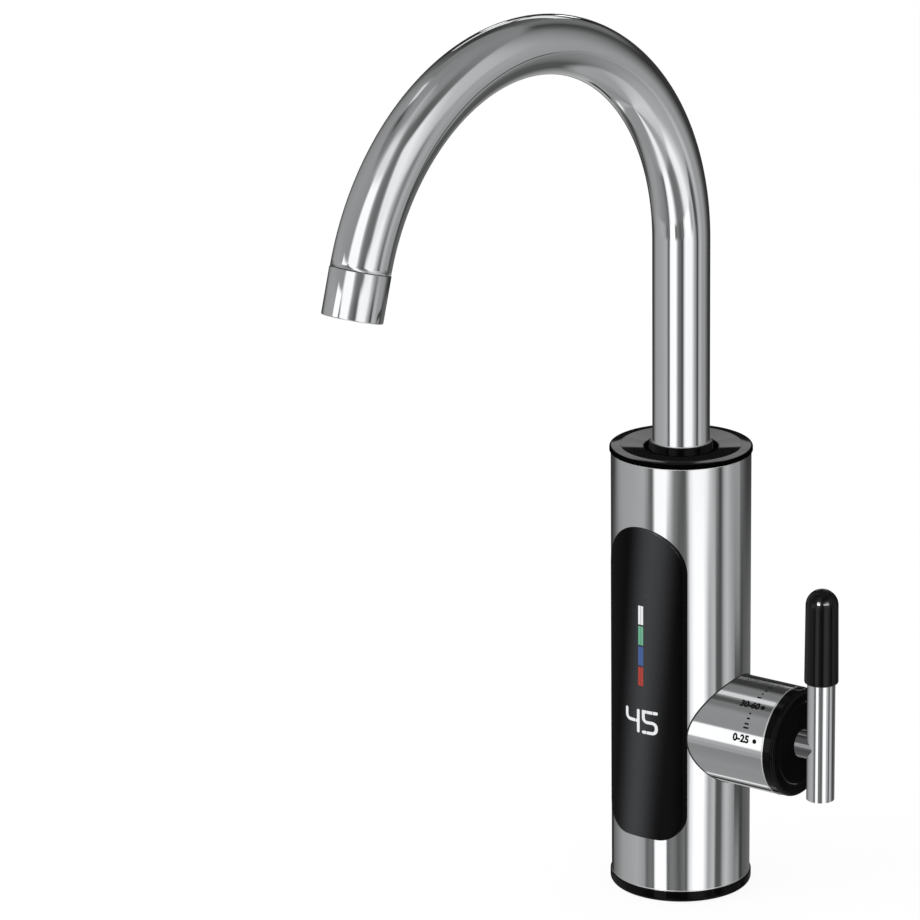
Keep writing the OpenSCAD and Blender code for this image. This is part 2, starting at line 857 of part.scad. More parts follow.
// The black plastic grip on the rod's upper end
module lever_grip() {
  color([0.05, 0.05, 0.06]) translate([rod_x, 0, 0]) rotate_extrude() polygon(concat(
    [[grip_pin_r + fit_gap, grip_pin_top + end_gap], [grip_pin_r + fit_gap, rod_shoulder]],
    arc([grip_r - grip_round, rod_shoulder + grip_round], grip_round, -90, 0, 6),
    arc([0, grip_top - grip_tip_r], grip_tip_r, 0, 90, 16),
    [[0, grip_pin_top + end_gap]]
  ));
}

// The place of the lever's screw, pointing out of the rod's back
module at_lever_screw() {
  translate([rod_x, 0, valve_z]) rotate([-90, 0, 0]) children();
}

// The grub screw in the rod's back that holds the rod on the neck's pin
module lever_screw() {
  color([0.7, 0.7, 0.72]) at_lever_screw()
    post(lever_screw_r, neck_pin_r + thin_gap, rod_r - lever_screw_sink);
}

// The pipe from the valve to the tank
module feed_pipe() {
  color([0.8, 0.65, 0.3]) difference() {
    union() {
      post(pipe_r, top_port_z - pipe_seat, tank_low);
      post(floor_hole_r - fit_gap, tank_low - cut, tank_low + floor_t - 0.5);
    }
    post(pipe_ri, top_port_z - pipe_seat - cut, tank_low + floor_t + cut);
  }
}

// The tank's places for its four lid screws
module at_tank_screws() {
  for (a = [45 : 90 : 315]) {
    translate([tank_screw_pcd * cos(a), tank_y + tank_screw_pcd * sin(a), 0]) children();
  }
}

// The water tank, with a flange, a lug that stands on the frame plate and a flat for the cutout
module tank_body() {
  color([0.85, 0.85, 0.85]) difference() {
    union() {
      translate([0, tank_y, 0]) post(tank_r, tank_low, lid_low);
      translate([0, tank_y, 0]) post(tank_flange_r, lid_low - tank_flange_t, lid_low);
      block([-foot_lug_w / 2, tank_y + tank_ri + 0.2, tank_low],
            [foot_lug_w / 2, frame_back, tank_low + foot_lug_h]);
      translate([cutout_x, tank_y, cutout_z]) rotate([0, 90, 0]) post(cutout_pad_r, 0, cutout_pad_depth);
    }
    translate([0, tank_y, 0]) post(tank_ri, tank_low + floor_t, lid_low + cut);
    translate([0, tank_y, 0]) ring(tank_seal_ri + tank_seal_w + thin_gap, tank_seal_ri - thin_gap,
                                   lid_low - tank_seal_t, lid_low + cut);
    post(floor_hole_r, tank_low - cut, tank_low + floor_t + cut);
    translate([coil_r, tank_y - lead_bend, 0])
      post(sheath_r + fit_gap, tank_low - cut, tank_low + floor_t + cut);
    translate([lead_x, return_y(), 0])
      post(sheath_r + fit_gap, tank_low - cut, tank_low + floor_t + cut);
    at_tank_screws() post(tank_screw_r + thin_gap, lid_low - tank_flange_t - cut, lid_low + cut);
  }
}

// Where the element's returning lead stands
function return_y() = tank_y + coil_r - 2 * return_bend();
function return_bend() = coil_r / 4 + 0.4;

// The sealing ring between the tank and its lid
module tank_seal() {
  color([0.15, 0.15, 0.15]) translate([0, tank_y, 0])
    ring(tank_seal_ri + tank_seal_w, tank_seal_ri, lid_low - tank_seal_t, lid_low);
}

// The tank's lid, with the outlet under the spout's socket
module tank_lid() {
  color([0.85, 0.85, 0.85]) difference() {
    translate([0, tank_y, 0]) post(tank_flange_r, lid_low, socket_low);
    post(lid_bore, lid_low - cut, socket_low + cut);
    translate([0, sensor_y, 0]) post(sensor_r + thin_gap, lid_low - cut, socket_low + cut);
    at_tank_screws() post(tank_screw_r + fit_gap, lid_low - cut, socket_low + cut);
    at_socket_screws() post(socket_screw_r + thin_gap, lid_low + lid_screw_floor, socket_low + cut);
  }
}

// The four screws of the tank's lid
module tank_screws() {
  color([0.7, 0.7, 0.72]) at_tank_screws() translate([0, 0, socket_low])
    screw(tank_screw_r, tank_screw_head_r, screw_head_t, lid_t + tank_flange_t - cut / 2);
}

// The heating element: one sheathed tube that rises, winds up the tank and comes down again
module heating_element() {
  centre = [0, tank_y, 0];
  turns = element_turns + 0.25;
  steps = 8 * element_turns + 2;
  back = return_bend();
  rise = [
    for (i = [0 : 4])
      let (a = 90 * i / 4)
      [coil_r, tank_y - lead_bend * cos(a), coil_low - lead_bend + lead_bend * sin(a)]
  ];
  coil = [
    for (i = [1 : steps])
      let (a = 360 * turns * i / steps)
      centre + [coil_r * cos(a), coil_r * sin(a), coil_low + (coil_high - coil_low) * i / steps]
  ];
  home = [
    for (i = [1 : 6])
      let (a = 90 + 180 * i / 6)
      [back * cos(a), tank_y + coil_r - back + back * sin(a), coil_high]
  ];
  fall = [
    for (i = [1 : 4])
      let (a = 90 * i / 4)
      [lead_x * sin(a), return_y(), coil_high - lead_x + lead_x * cos(a)]
  ];
  path = concat(
    [[coil_r, tank_y - lead_bend, lead_low]],
    rise,
    coil,
    home,
    fall,
    [[lead_x, return_y(), lead_low]]
  );
  color([0.55, 0.5, 0.45]) swept(path, sheath_r, 6, [1, 0, 0]);
}

// The thermal cutout on the tank's flat
module thermal_cutout() {
  color([0.2, 0.2, 0.2]) translate([cutout_x, tank_y, cutout_z]) rotate([0, -90, 0])
    post(cutout_r, 0, cutout_len);
}

// The temperature sensor in the lid
module temperature_sensor() {
  color([0.75, 0.75, 0.78]) translate([0, sensor_y, 0]) {
    post(sensor_head_r, socket_low, socket_low + sensor_head_t);
    post(sensor_r, lid_low - sensor_dip, socket_low + cut);
  }
}

// The two places of the socket's screws
module at_socket_screws() {
  for (side = [-1, 1]) {
    translate([side * socket_ear_x, 0, 0]) children();
  }
}

// The brass socket that the spout turns in, with its ears on the lid
module spout_socket() {
  color([0.8, 0.65, 0.3]) difference() {
    union() {
      post(socket_r, socket_low, collar_low);
      block([-socket_ear_x, -socket_ear_r, socket_low],
            [socket_ear_x, socket_ear_r, socket_low + socket_ear_t]);
      at_socket_screws() post(socket_ear_r, socket_low, socket_low + socket_ear_t);
    }
    post(socket_ri, socket_low, collar_low + cut);
    post(tail_flange_r + run_gap, socket_low - cut, socket_step);
    at_socket_screws() post(socket_screw_r + fit_gap, socket_low - cut, socket_low + socket_ear_t + cut);
  }
}

// The two screws of the socket
module socket_screws() {
  color([0.7, 0.7, 0.72]) at_socket_screws() translate([0, 0, socket_low + socket_ear_t])
    screw(socket_screw_r, socket_screw_head_r, screw_head_t, socket_ear_t + socket_screw_bite);
}

// The brass tail in the tube's lower end, held in the socket by its flange
module spout_tail() {
  color([0.8, 0.65, 0.3]) difference() {
    union() {
      post(tail_flange_r, tail_low, tail_low + tail_flange_t);
      post(tail_r, tail_low, tail_top);
      post(tube_ri - fit_gap, tail_top - cut, tail_top + tail_plug);
    }
    post(tail_bore, tail_low - cut, tail_top + tail_plug + cut);
    for (place = ring_places) {
      ring(tail_r + cut, ring_groove_r,
           tail_low + place - ring_groove_w / 2, tail_low + place + ring_groove_w / 2);
    }
  }
}

// The two sealing rings on the tail
module spout_orings() {
  color([0.15, 0.15, 0.15]) for (place = ring_places) {
    translate([0, 0, tail_low + place]) rotate_extrude()
      translate([ring_groove_r + ring_s + ring_play, 0]) circle(ring_s, $fn = 24);
  }
}

// A solid rod that stands up from the tail and follows the spout's bend
module spout_rod(r) {
  post(r, tail_top, bend_z);
  translate([bend_r, 0, bend_z]) rotate([-90, 0, 0]) rotate([0, 0, 180])
    rotate_extrude(angle = bend_deg) translate([bend_r, 0]) circle(r);
}

// The steel tube of the spout: straight up, then round its bend
module spout_tube() {
  color([0.75, 0.76, 0.78]) on_spout() difference() {
    spout_rod(tube_r);
    spout_rod(tube_ri);
  }
}

// The black collar that guides the tube in the top cap
module spout_collar() {
  color([0.05, 0.05, 0.06]) rotate_extrude() polygon(concat(
    [[collar_ri, collar_low], [collar_ro, collar_low]],
    arc([collar_ro - collar_edge, collar_top - collar_edge], collar_edge, 0, 90, 4),
    [[collar_ri, collar_top]]
  ));
}

// The black top cap: a slightly dished plate, a rounded rim and a spigot inside the shell
module top_cap() {
  color([0.05, 0.05, 0.06]) rotate_extrude() polygon(concat(
    [[cap_hole_r, cap_plate_low], [spigot_ri, cap_plate_low], [spigot_ri, cap_spigot_low]],
    [[spigot_r, cap_spigot_low], [spigot_r, shell_top], [rim_r, shell_top]],
    arc([rim_r - cap_edge, cap_top - cap_edge], cap_edge, 0, 60, 4),
    [for (step = cap_dish) [rim_r - step[0], cap_top - step[1]]],
    [[cap_hole_r + cap_hole_edge, cap_top - cap_edge], [cap_hole_r, cap_top - cap_edge - cap_hole_edge / 2]]
  ));
}

// The steel sleeve of the aerator, plugged into the tube's end
module aerator_housing() {
  color([0.75, 0.76, 0.78]) on_outlet() difference() {
    union() {
      post(aerator_r, 0, aerator_len);
      post(aerator_plug_r, -aerator_plug, cut);
    }
    post(aerator_plug_ri, -aerator_plug - cut, aerator_len);
    post(aerator_ri, aerator_seat, aerator_len + cut);
  }
}

// The plastic insert that mixes air into the water
module aerator_insert() {
  color([0.85, 0.85, 0.85]) on_outlet() difference() {
    post(insert_r, insert_low, insert_high);
    for (i = [0 : 5]) {
      rotate([0, 0, 60 * i]) translate([inner_holes, 0, 0])
        post(insert_hole_r, insert_low - cut, aerator_len);
    }
    for (i = [0 : 11]) {
      rotate([0, 0, 30 * i]) translate([outer_holes, 0, 0])
        post(insert_hole_r, insert_low - cut, aerator_len);
    }
    post(insert_hole_r, insert_low - cut, aerator_len);
  }
}

// The rubber washer between the sleeve's seat and the insert
module aerator_washer() {
  color([0.15, 0.15, 0.15]) on_outlet()
    ring(insert_r, aerator_plug_ri, aerator_seat, insert_low);
}

// The panel's outline unrolled from its face, grown by a margin, and its place in X and Z
function on_front(point) = [face_r * sin(point[0] / face_r * 180 / PI), point[1]];
function panel_edge(grow) =
  let (
    half = panel_w / 2,
    corner = panel_corner + grow
  )
  concat(
    arc([0, panel_top - half], half + grow, 0, 180, 24),
    arc([panel_corner - half, panel_low + panel_corner], corner, 180, 270, 8),
    arc([half - panel_corner, panel_low + panel_corner], corner, 270, 360, 8)
  );

module panel_outline(grow) {
  polygon([for (point = panel_edge(grow)) on_front(point)]);
}

// The outline of a stroke with round ends that follows a line of points
function square_to(run) = [-run[1], run[0]] / norm(run);
function corner_side(points, i) =
  let (
    last = len(points) - 1,
    before = square_to(points[max(i, 1)] - points[max(i, 1) - 1]),
    after = square_to(points[min(i, last - 1) + 1] - points[min(i, last - 1)])
  )
  (before + after) / (1 + before * after);
function end_cap(centre, run, r) =
  let (a = atan2(run[1], run[0]))
  arc(centre, r, a + 90, a - 90, 10);
function stroke_outline(points, r) =
  let (last = len(points) - 1)
  concat(
    [for (i = [0 : last - 1]) points[i] + r * corner_side(points, i)],
    end_cap(points[last], points[last] - points[last - 1], r),
    [for (i = [last - 1 : -1 : 1]) points[i] - r * corner_side(points, i)],
    end_cap(points[0], points[0] - points[1], r)
  );

// The two lit digits, drawn in X and Z with round corners, grown by a margin
module digits(grow) {
  r = stroke_w / 2 + grow;
  w = digit_w - stroke_w;
  h = digit_h - stroke_w;
  bend = w / 3.2;
  left = -digit_gap / 2 - stroke_w / 2 - w;
  right = digit_gap / 2 + stroke_w / 2;
  hook = concat([[0, h / 2]], arc([bend, bend], bend, 180, 270, 4), [[w - stroke_w / 4, 0]]);
  snake = concat(
    [[w, h / 2], [0, h / 2]],
    arc([bend, bend], bend, 180, 270, 4),
    arc([w - bend, -bend], bend, 90, 0, 4),
    arc([w - bend, bend - h / 2], bend, 0, -90, 4),
    [[0, -h / 2]]
  );
  translate([left, digit_z]) {
    polygon(stroke_outline(hook, r));
    polygon(stroke_outline([[w, h / 2], [w, -h / 2]], r));
  }
  translate([right, digit_z]) polygon(stroke_outline(snake, r));
}

// One colour of the level bar, counted from the top, drawn in X and Z and grown by a margin
module bar_part(i, grow) {
  low = bar_top - bar_seg - i * (bar_seg + bar_gap);
  translate([-bar_w / 2 - grow, low - grow]) square([bar_w + 2 * grow, bar_seg + 2 * grow]);
}

// All that lies behind the panel's face, which is flatter than the shell
module behind_face() {
  translate([0, face_set, 0]) post(face_r, 0, shell_top);
}

// The smoked display panel: a cover on the shell and a plug through the shell's window
module display_panel() {
  color([0.06, 0.06, 0.07]) difference() {
    union() {
      difference() {
        intersection() {
          behind_face();
          to_front(shell_r / 3, panel_far) panel_outline(0);
        }
        post(shell_r + thin_gap, -cut, shell_top + cut);
      }
      intersection() {
        ring(shell_r + panel_t / 2, plug_ri, 0, shell_top);
        to_front(shell_r / 3, panel_far) panel_outline(-panel_lap);
      }
    }
    to_front(shell_r / 3, panel_far) digits(thin_gap);
    for (i = [0 : bar_colours - 1]) {
      to_front(shell_r / 3, panel_far) bar_part(i, thin_gap);
    }
  }
}

// Cuts a shape that runs to the front down to the panel's thickness
module in_panel() {
  difference() {
    intersection() {
      behind_face();
      to_front(shell_r / 3, panel_far) children();
    }
    post(plug_ri, -cut, shell_top + cut);
  }
}

// The two digits' light guides
module digit_lens() {
  color([1, 1, 1]) in_panel() digits(0);
}

// The bar's white light guide
module bar_lens_white() {
  color([1, 1, 1]) in_panel() bar_part(0, 0);
}

// The bar's green light guide
module bar_lens_green() {
  color([0.43, 0.77, 0.59]) in_panel() bar_part(1, 0);
}

// The bar's blue light guide
module bar_lens_blue() {
  color([0.25, 0.41, 0.73]) in_panel() bar_part(2, 0);
}

// The bar's red light guide
module bar_lens_red() {
  color([0.75, 0.2, 0.16]) in_panel() bar_part(3, 0);
}

// Half the width of the digits' case
function digit_case_half() = digit_w + digit_gap / 2 + case_margin;

// The cases behind the digits and the bar, drawn in X and Z, grown by a margin
module led_cases(grow) {
  half = digit_case_half() + grow;
  tall = digit_h / 2 + case_margin + grow;
  low = bar_low - case_margin / 2 - grow;
  translate([-half, digit_z - tall]) square([2 * half, 2 * tall]);
  translate([-bar_case_half - grow, low])
    square([2 * (bar_case_half + grow), bar_top + case_margin - low + grow]);
}

// The plastic carrier behind the panel's plug
module display_carrier() {
  color([0.85, 0.85, 0.85]) difference() {
    intersection() {
      post(carrier_r, carrier_low, carrier_high);
      block([-carrier_half, -shell_r, carrier_low], [carrier_half, carrier_back, carrier_high]);
    }
    to_front(shell_r / 3, shell_r) led_cases(2 * fit_gap);
  }
}

// The display's board on the carrier's back
module display_board() {
  color([0.1, 0.35, 0.2]) block([-display_half, carrier_back, carrier_low + 2],
                                [display_half, carrier_back + board_t, carrier_high - 2]);
}

// The light sources of the digits and of the bar
module led_modules() {
  color([0.9, 0.9, 0.9]) to_front(-carrier_back, -led_front) led_cases(0);
}

foot();
deck_seal();
inlet_fitting();
inlet_strainer();
inlet_screws();
cable_gland();
gland_nut();
shell();
shell_screws();
flow_switch_body();
flow_piston();
flow_magnet();
flow_spring();
reed_switch();
frame_plate();
control_board();
relay();
terminal_block();
board_screws();
valve_body();
valve_collar();
valve_sleeve();
valve_end_cap();
cartridge_body();
cartridge_seal();
fixed_disc();
moving_disc();
valve_stem();
cartridge_nut();
lever_neck();
lever_rod();
lever_grip();
lever_screw();
feed_pipe();
tank_body();
tank_seal();
tank_lid();
tank_screws();
heating_element();
thermal_cutout();
temperature_sensor();
spout_socket();
socket_screws();
spout_tail();
spout_orings();
spout_tube();
spout_collar();
top_cap();
aerator_housing();
aerator_insert();
aerator_washer();
display_panel();
digit_lens();
bar_lens_white();
bar_lens_green();
bar_lens_blue();
bar_lens_red();
display_carrier();
display_board();
led_modules();
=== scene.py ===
import json
import math

import bmesh
import bpy
from mathutils import Matrix, Vector

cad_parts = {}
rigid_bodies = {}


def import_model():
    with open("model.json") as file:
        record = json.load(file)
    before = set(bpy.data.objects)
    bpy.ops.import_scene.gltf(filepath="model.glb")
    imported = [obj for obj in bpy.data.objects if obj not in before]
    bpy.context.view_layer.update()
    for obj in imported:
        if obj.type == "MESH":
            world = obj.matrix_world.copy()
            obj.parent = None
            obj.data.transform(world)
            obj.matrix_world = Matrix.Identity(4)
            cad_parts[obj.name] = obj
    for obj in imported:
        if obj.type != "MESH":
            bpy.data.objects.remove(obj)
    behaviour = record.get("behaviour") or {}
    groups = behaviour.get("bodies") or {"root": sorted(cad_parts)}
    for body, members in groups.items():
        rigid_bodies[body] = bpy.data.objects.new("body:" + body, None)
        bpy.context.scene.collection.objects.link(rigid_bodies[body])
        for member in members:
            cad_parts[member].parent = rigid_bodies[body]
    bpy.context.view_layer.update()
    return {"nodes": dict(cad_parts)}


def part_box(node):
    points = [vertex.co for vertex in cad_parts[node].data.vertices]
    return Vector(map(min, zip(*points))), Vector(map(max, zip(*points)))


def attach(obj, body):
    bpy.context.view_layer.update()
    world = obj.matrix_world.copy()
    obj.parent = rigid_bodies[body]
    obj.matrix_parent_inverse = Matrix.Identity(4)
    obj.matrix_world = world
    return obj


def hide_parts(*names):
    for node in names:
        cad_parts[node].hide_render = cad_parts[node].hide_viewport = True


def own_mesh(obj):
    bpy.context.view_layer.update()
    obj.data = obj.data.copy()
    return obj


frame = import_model()
node = frame["nodes"]
mm = 0.001


# The foot. A ring moulded in black gloss plastic that carries the whole tap; its spigot
# fits in the lower end of the shell. Handling leaves faint duller patches on its gloss.
def give(tree, receiver, sockets):
    """Sets a node's named sockets, each to a plain value or to another node's output."""
    for label, value in sockets.items():
        if isinstance(value, bpy.types.NodeSocket):
            tree.links.new(value, receiver.inputs[label])
        else:
            receiver.inputs[label].default_value = value


def put(tree, kind, sockets, **settings):
    """A new node in a tree, with its settings and with what its sockets are given."""
    made = tree.nodes.new(kind)
    for label, value in settings.items():
        setattr(made, label, value)
    give(tree, made, sockets)
    return made


def noise(tree, vector, scale, detail):
    """A noise texture, as a grey."""
    sockets = {"Vector": vector, "Scale": scale, "Detail": detail}
    return put(tree, "ShaderNodeTexNoise", sockets).outputs["Fac"]


def ramp(tree, value, start, end, first=0, last=1, shape="LINEAR"):
    """Takes a value's range from start to end over to the range from first to last."""
    sockets = {"Value": value, "From Min": start, "From Max": end, "To Min": first, "To Max": last}
    return put(tree, "ShaderNodeMapRange", sockets, interpolation_type=shape).outputs["Result"]


def mixed(tree, share, first, second):
    """Two colours, mixed by a share."""
    sockets = {"Factor": share, "A": first, "B": second}
    return put(tree, "ShaderNodeMix", sockets, data_type="RGBA").outputs["Result"]


def add_sockets(tree, way, kind, labels):
    """Adds named sockets of one kind to what a node group takes in or puts out."""
    for label in labels:
        tree.interface.new_socket(label, in_out=way, socket_type="NodeSocket" + kind)


def effect(name, floats, results):
    """A shader node group: a vector and these floats go in, and these results come out."""
    group = bpy.data.node_groups.new(name, "ShaderNodeTree")
    add_sockets(group, "INPUT", "Vector", ["Vector"])
    add_sockets(group, "INPUT", "Float", floats)
    add_sockets(group, "OUTPUT", "Float", results)
    return group, put(group, "NodeGroupInput", {}).outputs


def handling_marks():
    """Broad patches of wear: a roughness between two values, and a mask for the colour."""
    group, given = effect("handling_marks", ("Scale", "Low", "High"), ("Roughness", "Mask"))
    patches = noise(group, given["Vector"], given["Scale"], 5)
    roughness = ramp(group, patches, 0.35, 0.65, given["Low"], given["High"])
    put(group, "NodeGroupOutput", {"Roughness": roughness, "Mask": patches})
    return group


def moulded_grain():
    """The fine orange-peel skin of moulded plastic, as a height."""
    group, given = effect("moulded_grain", ["Scale"], ["Height"])
    put(group, "NodeGroupOutput", {"Height": noise(group, given["Vector"], given["Scale"], 3)})
    return group


marks_group = handling_marks()
grain_group = moulded_grain()


class Finish:
    """A material under construction: its Principled shader, and short ways to add nodes."""

    def __init__(self, name, colour, metallic=0.0):
        self.material = bpy.data.materials.new(name)
        self.material.use_nodes = True
        self.tree = self.material.node_tree
        self.shader = self.tree.nodes["Principled BSDF"]
        self.give({"Base Color": (*colour, 1), "Metallic": metallic})

    def give(self, sockets):
        """Sets the shader's own sockets."""
        give(self.tree, self.shader, sockets)

    def put(self, kind, sockets, **settings):
        """A new node in this material."""
        return put(self.tree, kind, sockets, **settings)

    def place(self, stretch=(1, 1, 1), centre=(0, 0, 0)):
        """Object coordinates, moved so that centre is their origin, then stretched."""
        mapping = self.put("ShaderNodeMapping", {
            "Vector": self.put("ShaderNodeTexCoord", {}).outputs["Object"],
            "Scale": stretch,
            "Location": [-c * s for c, s in zip(centre, stretch)],
        })
        return mapping.outputs["Vector"]

    def effect(self, group, vector, **values):
        """A node of one of the groups, with this material's own values."""
        return self.put("ShaderNodeGroup", {"Vector": vector, **values}, node_tree=group).outputs

    def bump(self, height, strength, depth):
        """Raises the surface by a height, depth mm deep."""
        sockets = {"Height": height, "Strength": strength, "Distance": depth * mm}
        self.give({"Normal": self.put("ShaderNodeBump", sockets).outputs["Normal"]})

    def tint(self, mask, first, second, label="Base Color"):
        """Varies a colour of the shader between two near ones."""
        self.give({label: mixed(self.tree, mask, (*first, 1), (*second, 1))})

    def wear(self, scale, low, high):
        """Handling marks: the roughness goes from low to high. Their mask comes back."""
        marks = self.effect(marks_group, self.place(), Scale=scale, Low=low, High=high)
        self.give({"Roughness": marks["Roughness"]})
        return marks["Mask"]

    def grain(self, scale, strength, depth):
        """The fine skin of a moulded or cast piece."""
        peel = self.effect(grain_group, self.place(), Scale=scale)
        self.bump(peel["Height"], strength, depth)


def moulded(name, dark, light, low, high, grain_depth=0.01, grain_scale=900):
    """Moulded plastic or rubber: two near colours, patches of roughness and a fine skin."""
    finish = Finish(name, dark)
    finish.tint(finish.wear(70, low, high), dark, light)
    finish.grain(grain_scale, 0.3, grain_depth)
    return finish


def dress(finish, *names):
    """Puts a finish on CAD nodes through their slots."""
    for name in names:
        node[name].data.materials[0] = finish.material


gloss_dark, gloss_light = (0.0012, 0.0012, 0.0014), (0.0020, 0.0020, 0.0023)
gloss_black = moulded("gloss_black", gloss_dark, gloss_light, 0.03, 0.07, 0.0010)
gloss_black.give({"Specular IOR Level": 0.08})
dress(gloss_black, "foot", "spout_collar")


# The worktop seal. A ring of black rubber pressed into a groove in the foot's underside.
rubber = moulded("rubber", (0.014, 0.014, 0.014), (0.022, 0.021, 0.020), 0.55, 0.72, 0.03)
dress(rubber, "deck_seal", "tank_seal", "spout_orings", "aerator_washer", "cartridge_seal")


# The water inlet. Turned brass with a thread for the supply hose, and a pierced steel
# strainer at the end of the thread. The lathe leaves fine rings on the brass.
def sum_of(tree, operation, *terms):
    """A Math node's result; each term is a plain number or another node's output."""
    return put(tree, "ShaderNodeMath", dict(enumerate(terms)), operation=operation).outputs["Value"]


def tool_lines():
    """Fine parallel lines left by a tool or a belt: a roughness and a height."""
    group, given = effect("tool_lines", ("Low", "High"), ("Roughness", "Height"))
    fine = noise(group, given["Vector"], 1, 2)
    broad = noise(group, given["Vector"], 0.22, 1)
    both = sum_of(group, "MULTIPLY_ADD", broad, 0.6, fine)
    roughness = ramp(group, both, 0.5, 1.1, given["Low"], given["High"])
    put(group, "NodeGroupOutput", {"Roughness": roughness, "Height": both})
    return group


lines_group = tool_lines()


def lined_metal(name, colour, low, high, stretch, strength, depth=0.004, centre=(0, 0, 0)):
    """Metal with fine lines; stretch is high across the lines and low along them."""
    finish = Finish(name, colour, 1.0)
    lines = finish.effect(lines_group, finish.place(stretch, centre), Low=low, High=high)
    finish.give({"Roughness": lines["Roughness"]})
    marks = finish.effect(marks_group, finish.place(), Scale=45)
    finish.tint(marks["Mask"], [0.94 * c for c in colour], colour)
    finish.bump(lines["Height"], strength, depth)
    return finish


brass_yellow = (0.72, 0.50, 0.22)
brass = lined_metal("brass", brass_yellow, 0.22, 0.38, (60, 60, 4000), 0.25)
dress(brass, "feed_pipe", "spout_socket", "spout_tail")
threaded_brass = lined_metal("threaded_brass", brass_yellow, 0.18, 0.30, (60, 60, 4000), 0.25)
thread_pitch = 1.814
waves_per_metre = 20 / (2 * math.pi)
thread = threaded_brass.put("ShaderNodeTexWave", {
    "Vector": threaded_brass.place(),
    "Scale": 1 / (waves_per_metre * thread_pitch * mm),
}, bands_direction="Z")
threaded_brass.bump(thread.outputs["Fac"], 1.0, 0.9)
dress(threaded_brass, "inlet_fitting")
brass_along = lined_metal("brass_along", brass_yellow, 0.22, 0.38, (4000, 60, 60), 0.25)
dress(brass_along, "valve_body", "valve_stem", "cartridge_nut")
zinc = lined_metal("zinc_steel", (0.56, 0.57, 0.58), 0.24, 0.36, (900, 900, 900), 0.15)
dress(zinc, "inlet_strainer", "frame_plate", "temperature_sensor", "board_screws", "tank_screws")


# The cable gland and its nut. Black nylon, screwed together through the foot's floor.
# The cut-out on the tank and the reed switch on the flow switch have cases of the same kind.
black_plastic = moulded("black_plastic", (0.008, 0.008, 0.009), (0.014, 0.014, 0.015), 0.35, 0.5, 0.02)
dress(black_plastic, "cable_gland", "gland_nut", "reed_switch", "thermal_cutout", "valve_collar")


# The flow switch and the display's carrier. White moulded plastic; the magnet is sintered.
white_plastic = moulded("white_plastic", (0.66, 0.66, 0.62), (0.74, 0.74, 0.70), 0.35, 0.5, 0.02)
dress(white_plastic, "flow_switch_body", "flow_piston", "cartridge_body", "aerator_insert")
dress(white_plastic, "display_carrier", "led_modules")
magnet = moulded("magnet", (0.050, 0.050, 0.055), (0.085, 0.085, 0.090), 0.45, 0.6, 0.04, 1600)
dress(magnet, "flow_magnet")


# The control and display boards. Green solder mask over copper tracks on glass fibre,
# with the relay's blue case and the green terminal block soldered to the control board.
board = Finish("circuit_board", (0.012, 0.075, 0.030))
turned_flat = board.put("ShaderNodeMapping", {"Vector": board.place(), "Rotation": (math.pi / 2, 0, 0)})
tracks = board.put("ShaderNodeTexBrick", {
    "Vector": turned_flat.outputs["Vector"],
    "Scale": 260,
    "Mortar Size": 0.06,
    "Color1": (0.010, 0.065, 0.026, 1),
    "Color2": (0.014, 0.080, 0.032, 1),
    "Mortar": (0.035, 0.140, 0.055, 1),
})
board.give({"Base Color": tracks.outputs["Color"]})
board.wear(120, 0.25, 0.4)
board.bump(tracks.outputs["Fac"], 0.4, 0.03)
dress(board, "control_board", "display_board")
relay_blue = moulded("relay_blue", (0.020, 0.075, 0.300), (0.028, 0.095, 0.350), 0.3, 0.42, 0.015)
dress(relay_blue, "relay")
terminal_green = moulded("terminal_green", (0.030, 0.250, 0.090), (0.040, 0.300, 0.110), 0.35, 0.5)
dress(terminal_green, "terminal_block")


# The tank and its heating element. The tank is a bead-blasted aluminium casting; the
# element is a sheathed tube, darkened by heat, wound up the inside.
cast_alloy = Finish("cast_alloy", (0.55, 0.56, 0.57), 1.0)
cast_alloy.tint(cast_alloy.wear(90, 0.42, 0.58), (0.50, 0.51, 0.52), (0.60, 0.61, 0.62))
cast_alloy.grain(1500, 0.5, 0.05)
dress(cast_alloy, "tank_body", "tank_lid")
sheath = Finish("heater_sheath", (0.22, 0.19, 0.16), 1.0)
sheath.tint(sheath.wear(160, 0.35, 0.6), (0.13, 0.11, 0.10), (0.32, 0.27, 0.22))
dress(sheath, "heating_element")
ceramic = moulded("ceramic", (0.78, 0.78, 0.76), (0.84, 0.84, 0.82), 0.12, 0.22, 0.004, 2000)
dress(ceramic, "fixed_disc", "moving_disc")


# The screws. Zinc-plated steel with a six-sided socket in each head, all made by one tree:
# a head and a shank joined, the socket cut out, and a copy set on each given place.
def ended(tree, shape, material):
    """Ends a geometry tree: copies made real, the material put on, and the shape put out."""
    add_sockets(tree, "OUTPUT", "Geometry", ["Geometry"])
    real = put(tree, "GeometryNodeRealizeInstances", {"Geometry": shape}).outputs["Geometry"]
    coat = put(tree, "GeometryNodeSetMaterial", {"Geometry": real, "Material": material})
    put(tree, "NodeGroupOutput", {"Geometry": coat.outputs["Geometry"]})
    return tree


head_sizes, shank_sizes = ("Head Radius", "Head Height"), ("Shank Radius", "Shank Length")
socket_sizes = ("Socket Radius", "Socket Depth")


